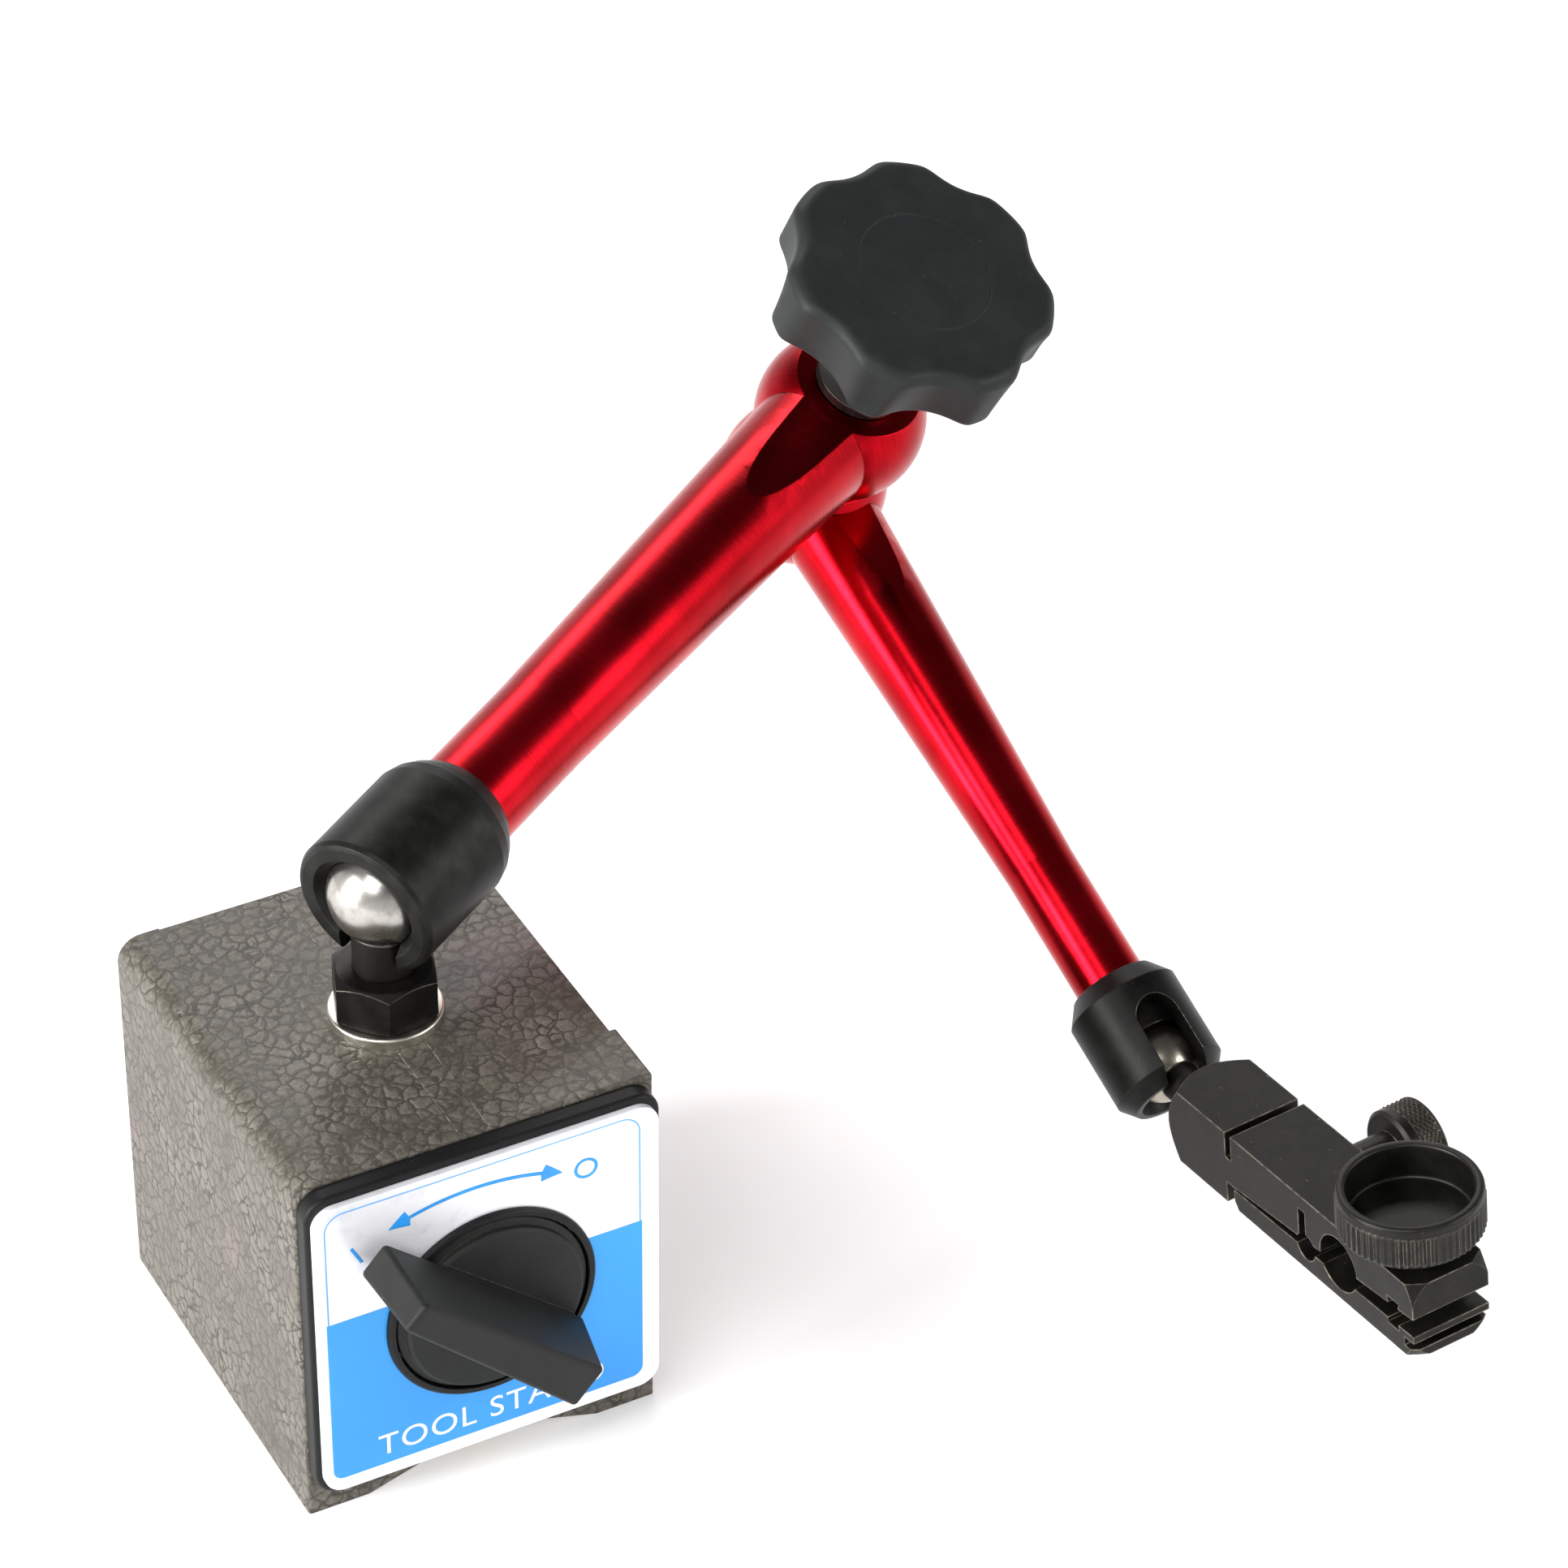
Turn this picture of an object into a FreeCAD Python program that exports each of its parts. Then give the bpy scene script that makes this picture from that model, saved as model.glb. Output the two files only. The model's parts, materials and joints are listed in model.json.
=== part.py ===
"""Articulated indicator holder on a switchable magnetic base.

The base stands on the plane Z = 0 with its front, which carries the switch handle, towards -Y.
The origin is on that plane, straight under the stud that carries the lower ball joint.
Every piece is built in the frame of its own sub-assembly and then put in place.
All lengths are in millimetres and all angles in degrees.
"""

import math
import os

import FreeCAD
import Part

Vector = FreeCAD.Vector

# ---------------------------------------------------------------- pose at rest
ARM_AZIMUTH = 29.5        # lower arm's heading about the stud, from +X
ARM_ELEVATION = 6.4       # lower arm above the horizontal
ARM_ROLL = 26.1           # elbow axis away from the arm's own vertical plane
ELBOW_ANGLE = 65.2        # angle between the two arms
SLOT_AZIMUTH = -9.0       # upper socket's slot, about the upper arm from the elbow axis
WRIST_BEND = 32.0         # ball pin away from the upper arm's line

# ---------------------------------------------------------------- magnetic base
BASE_WIDTH = 50.0
BASE_HEIGHT = 55.0
BASE_FRONT = 26.5         # stud axis to the housing's front face
BASE_REAR = 30.0          # stud axis to the housing's rear face
DIVIDER_THICKNESS = 4.0
TOP_EDGE_RADIUS = 3.5
EDGE_BREAK = 0.5
GROOVE_WIDTH = 33.0       # V groove in the underside
GROOVE_DEPTH = 5.0
SIDE_RELIEF = 1.1         # the right side is milled back behind a front lip
SIDE_LIP = 10.2
REAR_RELIEF = 0.6         # the rear is milled back beside a left lip
REAR_LIP = 6.0

SWITCH_HEIGHT = 29.6      # switch and rotor axis above the feet
ROTOR_BORE_RADIUS = 15.0
ROTOR_CLEARANCE = 0.3
MAGNET_THICKNESS = 10.0
END_CAP_THICKNESS = 2.5
END_PLAY = 0.3
SEAT_RADIUS = 16.5        # counterbore for the discs that close the rotor bore
SEAT_DEPTH = 4.0
BUSH_RADIUS = 6.0
BUSH_LENGTH = 2.5
SHAFT_RADIUS = 4.0
SHAFT_FLAT = 3.1          # shaft centre to each drive flat
SHAFT_END_SKIN = 0.8      # hub left in front of the shaft's end
RUNNING_CLEARANCE = 0.03
RIVET_RADIUS = 1.25
RIVET_CIRCLE = 11.5

BEZEL_WIDTH = 49.4
BEZEL_HEIGHT = 49.6
BEZEL_THICKNESS = 2.6
BEZEL_CORNER = 3.4
BEZEL_RING_RADIUS = 14.65
BEZEL_RING_RISE = 0.7     # ring proud of the printed plate
HUB_RADIUS = 13.3
HUB_CLEARANCE = 0.35
PLATE_WIDTH = 48.0
PLATE_HEIGHT = 47.4
PLATE_THICKNESS = 0.9
PLATE_CORNER = 3.0
FACE_CENTRE_HEIGHT = 29.6
BEZEL_SCREW_RADIUS = 1.25
BEZEL_SCREW_OFFSET = 19.5

HANDLE_ANGLE = 137.6      # pointer direction at rest, from +X, seen from the front
HANDLE_RISE = 12.7        # bar above the hub's face
HANDLE_POINTER = 23.2     # axis to the pointer end
HANDLE_TAIL_ROOT = 13.3   # axis to the blunt end, at the hub
HANDLE_TAIL_TIP = 9.2     # axis to the blunt end, at the outer face
HANDLE_POINTER_HALF = 2.2
HANDLE_TAIL_HALF = 3.2
HANDLE_SIDE_DRAFT = 0.35
HUB_FACE_RISE = 1.85      # hub face in front of the printed plate
HUB_STEP = 0.9

# ---------------------------------------------------------------- stud and lower ball joint
STUD_RADIUS = 4.0
STUD_CLEARANCE = 0.05
STUD_DEPTH = 9.0
WASHER_RADIUS = 7.6
WASHER_THICKNESS = 1.6
NUT_ACROSS_FLATS = 13.0
NUT_HEIGHT = 6.5
NECK_RADIUS = 4.1
LOWER_BALL_RADIUS = 7.0
LOWER_BALL_RISE = 20.0        # ball centre above the housing's top
LOWER_BALL_HEIGHT = BASE_HEIGHT + LOWER_BALL_RISE

LOWER_SOCKET_RADIUS = 10.2
LOWER_SOCKET_MOUTH = 4.1      # rim in front of the ball centre
LOWER_SOCKET_REAR = 17.5
LOWER_PAD_START = 4.6
PAD_CLEARANCE = 0.15
LOWER_LIP_RADIUS = 6.5
LOWER_MOUTH_RADIUS = 7.65
SLOT_CLEARANCE = 0.35
BALL_CLEARANCE = 0.08

# ---------------------------------------------------------------- arms
LOWER_ARM_LENGTH = 109.85     # ball centre to elbow axis
UPPER_ARM_LENGTH = 99.3
ELBOW_OFFSET = 15.8           # between the two hubs' centres, along the elbow axis
HUB_BALL_RADIUS = 12.0
HUB_OUTER_FLAT = 7.9
FRICTION_WASHER = 0.6
FRICTION_WASHER_RADIUS = 8.6
ROD_RADIUS = 2.5
ROD_BORE = 2.8
LOWER_TUBE_RADIUS = 7.12
LOWER_TUBE_STRAIGHT = 36.0    # where the lower tube starts to grow
LOWER_TUBE_END_RADIUS = 8.95
LOWER_TUBE_SETBACK = 7.85     # tube's end before the hub's centre
LOWER_TUBE_END = LOWER_ARM_LENGTH - LOWER_TUBE_SETBACK
LOWER_NIPPLE_START = 9.0
LOWER_NIPPLE_RADIUS = 5.8
UPPER_TUBE_RADIUS = 4.95
UPPER_TUBE_STRAIGHT = 67.0
UPPER_TUBE_HUB_RADIUS = 7.2
UPPER_TUBE_START = 8.0
UPPER_NIPPLE_RADIUS = 4.0
UPPER_NIPPLE_START = 8.0      # behind the upper ball's centre
HUB_STUB_RADIUS = 4.2
HUB_STUB_LENGTH = 20.0
UPPER_FLAT = 6.4
FLAT_RUNOUT_RADIUS = 150.0
FLAT_LENGTH = 16.0            # straight stretch of a milled flat, from the hub's centre

# ---------------------------------------------------------------- elbow clamp
BOLT_RADIUS = 2.5
SLEEVE_RADIUS = 5.0
CONE_TIP_RADIUS = 3.2
CONE_LENGTH = 6.0
PUSH_CLEARANCE = 0.1          # push rod's tip to the cone
SLEEVE_CLEARANCE = 0.1
BOLT_HEAD_RADIUS = 6.6
BOLT_HEAD_HEIGHT = 3.4
BOLT_RISE = 24.0              # bolt end above the lower hub's centre
KNOB_RISE = 33.6              # knob face above the lower hub's centre
KNOB_THICKNESS = 10.4
KNOB_TIP_RADIUS = 19.3
KNOB_VALLEY_RADIUS = 16.9
KNOB_LOBES = 7
KNOB_SCALLOP_RADIUS = 11.0
KNOB_EDGE_RADIUS = 1.7
KNOB_TIP_ROUNDING = 2.2
KNOB_LOBE_TURN = -8.4
KNOB_NECK_RADIUS = 6.6
KNOB_NECK_BOTTOM = 9.6
SLEEVE_FLANGE_RADIUS = 6.4
SLEEVE_FLANGE = 1.4
KNOB_CAP_RADIUS = 9.5
KNOB_CAP_THICKNESS = 1.4
INSERT_RADIUS = 5.0
SPRING_WIRE = 0.4
SPRING_CLEARANCE = 0.1
SPRING_RADIUS = BOLT_RADIUS + SPRING_WIRE + SPRING_CLEARANCE
SPRING_TURNS = 5.0

# ---------------------------------------------------------------- upper ball joint
UPPER_BALL_RADIUS = 5.25
UPPER_SOCKET_RADIUS = 8.0
UPPER_SOCKET_MOUTH = 4.7
UPPER_SOCKET_REAR = 12.8
UPPER_SOCKET_CHAMFER = 2.2
UPPER_LIP_RADIUS = 4.8
UPPER_MOUTH_RADIUS = 5.5
PIN_NECK_RADIUS = 2.8
PIN_SHANK_RADIUS = 3.0
PIN_SHANK_LENGTH = 8.0
UPPER_PAD_START = 4.0
UPPER_SLOT_BACK = 4.0         # centre of the slot's round end, behind the ball centre
LOWER_SLOT_BACK = 0.2

# ---------------------------------------------------------------- indicator holder
HOLDER_START = 9.9            # ball centre to the holder's near face
HOLDER_LENGTH = 55.3
HOLDER_WIDTH = 11.8
HOLDER_HEIGHT = 11.4
HOLDER_TURNED_NEAR = 5.1      # radius of the turned near end
HOLDER_TURNED_FAR = 6.6
CUT_START = 14.1              # flexure cuts, from the near face
CUT_WIDTH = 1.3
TOP_CUT_DEPTH = 4.0
JAW_HEEL_THICKNESS = 2.95     # lower jaw, at its heel and at the far end
JAW_FAR_THICKNESS = 3.8
JAW_HEEL_GAP = 0.35           # between the jaws, at the heel and at the far end
JAW_FAR_GAP = 2.8
JAW_HEEL_LEVEL = HOLDER_HEIGHT - JAW_HEEL_THICKNESS   # levels are below the top face
JAW_LEVEL_FAR = HOLDER_HEIGHT - JAW_FAR_THICKNESS
NOTCH_LEVEL = JAW_HEEL_LEVEL - JAW_HEEL_GAP
JAW_ROOF_FAR = JAW_LEVEL_FAR - JAW_FAR_GAP
LARGE_BORE_RADIUS = 4.0
LARGE_BORE_PLACE = 39.2
LARGE_BORE_RISE = 5.5         # bore's centre above the bottom face
LARGE_BORE_LEVEL = HOLDER_HEIGHT - LARGE_BORE_RISE
SMALL_BORE_RADIUS = 2.0
SMALL_BORE_PLACE = 32.0
SMALL_BORE_RISE = 3.7
SMALL_BORE_LEVEL = HOLDER_HEIGHT - SMALL_BORE_RISE
FINGER_SLOT_WIDTH = 1.5
FINGER_SLOT_TOP = 2.2
DOVETAIL_PLACE = 51.0
DOVETAIL_FLOOR = 1.9
DOVETAIL_DEPTH = 0.9
END_GROOVE_HEIGHT = 1.3
END_GROOVE_DEPTH = 2.0
END_GROOVE_RISE = 2.7         # groove's roof above the bottom face
END_GROOVE_LEVEL = HOLDER_HEIGHT - END_GROOVE_RISE

CLAMP_SCREW_RADIUS = 2.5
CLAMP_SCREW_PLACE = 47.3
CLAMP_SCREW_CLEARANCE = 0.3
CUP_RADIUS = 9.6
CUP_INNER_RADIUS = 8.2
CUP_DEPTH = 5.2
CUP_FLOOR = 1.0               # web between the cup and the screw's end
CUP_RIM_RISE = 9.1            # rim above the holder's top face
CUP_BOTTOM_RISE = 1.6
CUP_COLLAR_RADIUS = 5.0
CUP_TEETH = 64
CUP_TOOTH_DEPTH = 0.35

FINE_SCREW_PLACE = 27.7
FINE_SCREW_LEVEL = 3.1
FINE_SCREW_RADIUS = 1.8
FINE_SCREW_DEPTH = 9.0
FINE_KNOB_RADIUS = 6.0
FINE_KNOB_LENGTH = 5.6
FINE_KNOB_START = 5.0         # block's side to the knurled band
FINE_NECK_RADIUS = 3.2


def cylinder(radius, start, end):
    """A cylinder from one point to another."""
    start = Vector(*start)
    along = Vector(*end) - start
    return Part.makeCylinder(radius, along.Length, start, along)


def box(low, high):
    """A box between two opposite corners."""
    size = Vector(*high) - Vector(*low)
    return Part.makeBox(size.x, size.y, size.z, Vector(*low))


def turned(profile):
    """A solid turned about the X axis from (x, radius) points, closed down to the axis."""
    points = [Vector(profile[0][0], 0, 0)]
    points += [Vector(x, radius, 0) for x, radius in profile]
    points.append(Vector(profile[-1][0], 0, 0))
    outline = [p for i, p in enumerate(points) if i == 0 or (p - points[i - 1]).Length > 1e-6]
    outline.append(outline[0])
    return Part.Face(Part.makePolygon(outline)).revolve(Vector(0, 0, 0), Vector(1, 0, 0), 360)


def turned_z(profile):
    """The same about the Z axis, from (z, radius) points."""
    return turned(profile).rotated(Vector(0, 0, 0), Vector(0, 1, 0), -90)


def turned_y(profile, height):
    """The same about a line parallel to Y at the given height, from (y, radius) points."""
    solid = turned(profile).rotated(Vector(0, 0, 0), Vector(0, 0, 1), 90)
    return solid.translated(Vector(0, 0, height))


def extruded(outline, travel):
    """A prism from a closed list of points, pushed along a vector."""
    points = [Vector(*p) for p in outline]
    return Part.Face(Part.makePolygon(points + points[:1])).extrude(Vector(*travel))


def rounded_plate(width, height, corner, y_front, y_back, centre_height):
    """An upright plate with rounded corners, between two Y planes."""
    low = (-width / 2, y_front, centre_height - height / 2)
    high = (width / 2, y_back, centre_height + height / 2)
    plate = box(low, high)
    return plate.makeFillet(corner, edges_along(plate, Vector(0, 1, 0)))


def edges_along(shape, direction):
    """The straight edges of a shape that run along a direction."""
    found = []
    for edge in shape.Edges:
        if not isinstance(edge.Curve, Part.Line):
            continue
        if edge.Curve.Direction.cross(direction).Length < 1e-6:
            found.append(edge)
    return found


def edges_at_level(shape, level, axis=2):
    """The edges that lie wholly at one level of an axis."""
    found = []
    for edge in shape.Edges:
        span = edge.BoundBox
        low = (span.XMin, span.YMin, span.ZMin)[axis]
        high = (span.XMax, span.YMax, span.ZMax)[axis]
        if abs(low - level) < 1e-4 and abs(high - level) < 1e-4:
            found.append(edge)
    return found


def frame(origin, x_axis, z_axis):
    """The placement whose X and Z axes are given; Y completes a right-handed set."""
    y_axis = z_axis.cross(x_axis)
    rows = zip((x_axis.x, x_axis.y, x_axis.z), (y_axis.x, y_axis.y, y_axis.z),
               (z_axis.x, z_axis.y, z_axis.z), (origin.x, origin.y, origin.z))
    numbers = [value for row in rows for value in row]
    return FreeCAD.Placement(FreeCAD.Matrix(*numbers, 0, 0, 0, 1))


def moved(shape, place):
    """A copy of the shape in a new place."""
    copy = shape.copy()
    copy.Placement = place.multiply(copy.Placement)
    return copy


# ---------------------------------------------------------------- frames of the sub-assemblies
def unit(azimuth, elevation):
    """The unit vector at an azimuth from +X and an elevation."""
    flat = math.cos(math.radians(elevation))
    heading = math.radians(azimuth)
    return Vector(flat * math.cos(heading), flat * math.sin(heading), math.sin(math.radians(elevation)))


def turned_about(vector, axis, angle):
    """The vector turned about an axis through the origin."""
    return FreeCAD.Rotation(axis, angle).multVec(vector)


def lower_arm_frame():
    """Origin at the lower ball, X along the arm, Z along the elbow axis."""
    along = unit(ARM_AZIMUTH, ARM_ELEVATION)
    upright = unit(ARM_AZIMUTH, ARM_ELEVATION + 90)
    return frame(Vector(0, 0, LOWER_BALL_HEIGHT), along, turned_about(upright, along, ARM_ROLL))


def upper_arm_frame():
    """Origin at the upper hub's centre, X towards the upper ball, Z along the elbow axis."""
    below = lower_arm_frame()
    hub = below.multVec(Vector(LOWER_ARM_LENGTH, 0, -ELBOW_OFFSET))
    axis = below.Rotation.multVec(Vector(0, 0, 1))
    back = below.Rotation.multVec(Vector(-1, 0, 0))
    return frame(hub, turned_about(back, axis, ELBOW_ANGLE), axis)


def holder_frame():
    """Origin at the upper ball, X along the ball pin and the holder, Z out of the holder's top."""
    arm = upper_arm_frame()
    slot_side = turned_about(Vector(0, 0, 1), Vector(1, 0, 0), -SLOT_AZIMUTH)
    hinge = slot_side.cross(Vector(1, 0, 0))
    along = turned_about(Vector(1, 0, 0), hinge, -WRIST_BEND)
    top = turned_about(slot_side, hinge, -WRIST_BEND)
    ball = arm.multVec(Vector(UPPER_ARM_LENGTH, 0, 0))
    return frame(ball, arm.Rotation.multVec(along), arm.Rotation.multVec(top))


# ---------------------------------------------------------------- magnetic base
def housing_block():
    """The two poles and the divider as one outer shape, before it is split."""
    half = BASE_WIDTH / 2
    block = box((-half, -BASE_FRONT, 0), (half, BASE_REAR, BASE_HEIGHT))
    long_edges = edges_along(block, Vector(0, 1, 0))
    top_left = [e for e in long_edges if e.BoundBox.XMax < 0 and e.BoundBox.ZMin > BASE_HEIGHT / 2]
    block = block.makeFillet(TOP_EDGE_RADIUS, top_left)
    upright = edges_along(block, Vector(0, 0, 1))
    top_right = [e for e in edges_along(block, Vector(0, 1, 0))
                 if e.BoundBox.XMin > half - 0.01 and e.BoundBox.ZMin > BASE_HEIGHT / 2]
    block = block.makeFillet(EDGE_BREAK, upright + top_right)
    side_start = SIDE_LIP - BASE_FRONT
    side = box((half - SIDE_RELIEF, side_start, -1), (half + 1, BASE_REAR + 1, BASE_HEIGHT + 1))
    rear = box((REAR_LIP - half, BASE_REAR - REAR_RELIEF, -1), (half + 1, BASE_REAR + 1, BASE_HEIGHT + 1))
    groove = extruded([(-GROOVE_WIDTH / 2, -BASE_FRONT - 1, -0.001), (0, -BASE_FRONT - 1, GROOVE_DEPTH),
                       (GROOVE_WIDTH / 2, -BASE_FRONT - 1, -0.001)], (0, BASE_FRONT + BASE_REAR + 2, 0))
    block = block.cut(side).cut(rear).cut(groove)
    bore = cylinder(ROTOR_BORE_RADIUS, (0, -BASE_FRONT - 1, SWITCH_HEIGHT), (0, BASE_REAR + 1, SWITCH_HEIGHT))
    front_seat = cylinder(SEAT_RADIUS, (0, -BASE_FRONT - 1, SWITCH_HEIGHT),
                          (0, -BASE_FRONT + SEAT_DEPTH, SWITCH_HEIGHT))
    rear_seat = cylinder(SEAT_RADIUS, (0, BASE_REAR - REAR_RELIEF - SEAT_DEPTH, SWITCH_HEIGHT),
                         (0, BASE_REAR + 1, SWITCH_HEIGHT))
    stud_hole = cylinder(STUD_RADIUS + STUD_CLEARANCE, (0, 0, BASE_HEIGHT - STUD_DEPTH - 0.5),
                         (0, 0, BASE_HEIGHT + 1))
    block = block.cut(bore).cut(front_seat).cut(rear_seat).cut(stud_hole)
    for side_x in (-1, 1):
        hole = cylinder(BEZEL_SCREW_RADIUS, bezel_screw_end(side_x), bezel_screw_start(side_x))
        block = block.cut(hole)
    return block


def bezel_screw_start(side_x):
    """Outer end of one hidden bezel screw; the two stand on a diagonal."""
    offset = side_x * BEZEL_SCREW_OFFSET
    return (offset, -BASE_FRONT - BEZEL_THICKNESS, FACE_CENTRE_HEIGHT + offset)


def bezel_screw_end(side_x):
    """Inner end of the same screw."""
    start = bezel_screw_start(side_x)
    return (start[0], -BASE_FRONT + 5.0, start[2])


def base_pieces():
    """Poles, divider, covers, bushes, bezel, printed plate, washer and nut."""
    block = housing_block()
    half = DIVIDER_THICKNESS / 2
    far = BASE_WIDTH
    left = block.common(box((-far, -far, -1), (-half, far, BASE_HEIGHT + 1)))
    right = block.common(box((half, -far, -1), (far, far, BASE_HEIGHT + 1)))
    middle = block.common(box((-half, -far, -1), (half, far, BASE_HEIGHT + 1)))
    seat_back = BASE_REAR - REAR_RELIEF - SEAT_DEPTH
    cover = turned_y([(seat_back, SEAT_RADIUS), (seat_back + SEAT_DEPTH - 0.5, SEAT_RADIUS),
                      (seat_back + SEAT_DEPTH, SEAT_RADIUS - 0.5)], SWITCH_HEIGHT)
    cover = cover.cut(cylinder(BUSH_RADIUS, (0, seat_back - 1, SWITCH_HEIGHT),
                               (0, seat_back + BUSH_LENGTH, SWITCH_HEIGHT)))
    bush_bore = SHAFT_RADIUS + RUNNING_CLEARANCE
    front_seat = -BASE_FRONT + SEAT_DEPTH
    rear_bush = ring_y(BUSH_RADIUS, bush_bore, seat_back, seat_back + BUSH_LENGTH)
    front_disc = ring_y(SEAT_RADIUS, BUSH_RADIUS, -BASE_FRONT, front_seat)
    front_bush = ring_y(BUSH_RADIUS, bush_bore, -BASE_FRONT, front_seat)
    washer = cylinder(WASHER_RADIUS, (0, 0, BASE_HEIGHT), (0, 0, BASE_HEIGHT + WASHER_THICKNESS))
    stud_hole = cylinder(STUD_RADIUS + STUD_CLEARANCE, (0, 0, 0), (0, 0, LOWER_BALL_HEIGHT))
    washer = washer.makeFillet(0.35, edges_at_level(washer, BASE_HEIGHT + WASHER_THICKNESS))
    nut_floor = BASE_HEIGHT + WASHER_THICKNESS
    return {
        "left_pole": left,
        "right_pole": right,
        "brass_divider": middle,
        "rear_cover": cover,
        "rear_bush": rear_bush,
        "front_bearing_disc": front_disc,
        "front_bush": front_bush,
        "front_bezel": front_bezel(),
        "bezel_screws": bezel_screws(),
        "printed_plate": printed_plate(),
        "stud_washer": washer.cut(stud_hole),
        "stud_nut": hex_nut(nut_floor).cut(stud_hole),
    }


def ring_y(outer, inner, y_low, y_high):
    """A ring about the switch axis between two Y planes."""
    body = cylinder(outer, (0, y_low, SWITCH_HEIGHT), (0, y_high, SWITCH_HEIGHT))
    return body.cut(cylinder(inner, (0, y_low - 1, SWITCH_HEIGHT), (0, y_high + 1, SWITCH_HEIGHT)))


def hex_nut(floor):
    """A hexagonal nut blank with turned chamfers at its top and bottom."""
    corner = NUT_ACROSS_FLATS / math.sqrt(3)
    corners = [(corner * math.cos(math.radians(a)), corner * math.sin(math.radians(a)), floor)
               for a in range(10, 370, 60)]
    blank = extruded(corners, (0, 0, NUT_HEIGHT))
    face = NUT_ACROSS_FLATS / 2 * 0.95
    drop = (corner - face) * math.tan(math.radians(30))
    top = floor + NUT_HEIGHT
    chamfer = turned_z([(floor, face), (floor + drop, corner), (top - drop, corner), (top, face)])
    return blank.common(chamfer)


def front_bezel():
    """The moulded frame behind the printed plate, with the ring that the handle's hub turns in."""
    front = -BASE_FRONT - BEZEL_THICKNESS
    bezel = rounded_plate(BEZEL_WIDTH, BEZEL_HEIGHT, BEZEL_CORNER, front, -BASE_FRONT, FACE_CENTRE_HEIGHT)
    bezel = bezel.makeFillet(0.6, edges_at_level(bezel, front, 1))
    ring_front = front - PLATE_THICKNESS - BEZEL_RING_RISE
    ring = turned_y([(ring_front, BEZEL_RING_RADIUS - 0.3), (ring_front + 0.3, BEZEL_RING_RADIUS),
                     (front + 0.5, BEZEL_RING_RADIUS)], SWITCH_HEIGHT)
    bezel = bezel.fuse(ring)
    hole = cylinder(HUB_RADIUS + HUB_CLEARANCE, (0, -BASE_FRONT + 1, SWITCH_HEIGHT),
                    (0, ring_front - 1, SWITCH_HEIGHT))
    bezel = bezel.cut(hole)
    for side_x in (-1, 1):
        bezel = bezel.cut(bezel_screw(side_x))
    return bezel


def bezel_screw(side_x):
    """A countersunk screw whose head is flush with the bezel, under the printed plate."""
    start = Vector(*bezel_screw_start(side_x))
    shank = cylinder(BEZEL_SCREW_RADIUS, start, bezel_screw_end(side_x))
    head = Part.makeCone(2 * BEZEL_SCREW_RADIUS, BEZEL_SCREW_RADIUS, BEZEL_SCREW_RADIUS,
                         start, Vector(0, 1, 0))
    return shank.fuse(head)


def bezel_screws():
    """Both screws, with a slot across each head."""
    screws = []
    for side_x in (-1, 1):
        x, y, z = bezel_screw_start(side_x)
        slot = box((x - 3, y - 1, z - 0.3), (x + 3, y + 0.6, z + 0.3))
        screws.append(bezel_screw(side_x).cut(slot))
    return Part.makeCompound(screws)


def printed_plate():
    """The thin printed aluminium plate, with the hole that the bezel's ring stands in."""
    back = -BASE_FRONT - BEZEL_THICKNESS
    plate = rounded_plate(PLATE_WIDTH, PLATE_HEIGHT, PLATE_CORNER, back - PLATE_THICKNESS, back,
                          FACE_CENTRE_HEIGHT)
    hole = cylinder(BEZEL_RING_RADIUS, (0, back + 1, SWITCH_HEIGHT), (0, back - 5, SWITCH_HEIGHT))
    return plate.cut(hole)


# ---------------------------------------------------------------- switch: handle, shaft and magnet rotor
def switch_pieces():
    """Everything that turns with the switch handle."""
    rotor_radius = ROTOR_BORE_RADIUS - ROTOR_CLEARANCE
    front = -BASE_FRONT + SEAT_DEPTH + END_PLAY
    rear = BASE_REAR - REAR_RELIEF - SEAT_DEPTH - END_PLAY
    core_front = front + END_CAP_THICKNESS
    core_rear = rear - END_CAP_THICKNESS
    core = cylinder(rotor_radius, (0, core_front, SWITCH_HEIGHT), (0, core_rear, SWITCH_HEIGHT))
    half = MAGNET_THICKNESS / 2
    slab = box((-half, core_front, 0), (half, core_rear, BASE_HEIGHT))
    magnet = core.common(slab)
    shoes = core.cut(slab)
    rivets = rotor_rivets(front, rear)
    front_cap = cylinder(rotor_radius, (0, front, SWITCH_HEIGHT), (0, core_front, SWITCH_HEIGHT))
    rear_cap = turned_y([(core_rear, rotor_radius), (rear, rotor_radius), (rear, SHAFT_RADIUS),
                         (rear + END_PLAY + BUSH_LENGTH - 0.3, SHAFT_RADIUS)], SWITCH_HEIGHT)
    shaft = switch_shaft(core_front)
    return {
        "switch_handle": switch_handle().cut(shaft),
        "switch_shaft": shaft,
        "rotor_front_cap": front_cap.cut(rivets).cut(shaft),
        "rotor_rear_cap": rear_cap.cut(rivets),
        "rotor_magnet": magnet,
        "rotor_shoes": shoes.cut(rivets),
        "rotor_rivets": rivets,
    }


def rotor_rivets(front, rear):
    """Four rivets through the two steel shoes and both end caps."""
    rivets = []
    for angle in (35, 145, 215, 325):
        x = RIVET_CIRCLE * math.cos(math.radians(angle))
        z = SWITCH_HEIGHT + RIVET_CIRCLE * math.sin(math.radians(angle))
        rivets.append(cylinder(RIVET_RADIUS, (x, front, z), (x, rear, z)))
    return Part.makeCompound(rivets)


def hub_face():
    """Y of the handle hub's outer face."""
    return -BASE_FRONT - BEZEL_THICKNESS - PLATE_THICKNESS - HUB_FACE_RISE


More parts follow.
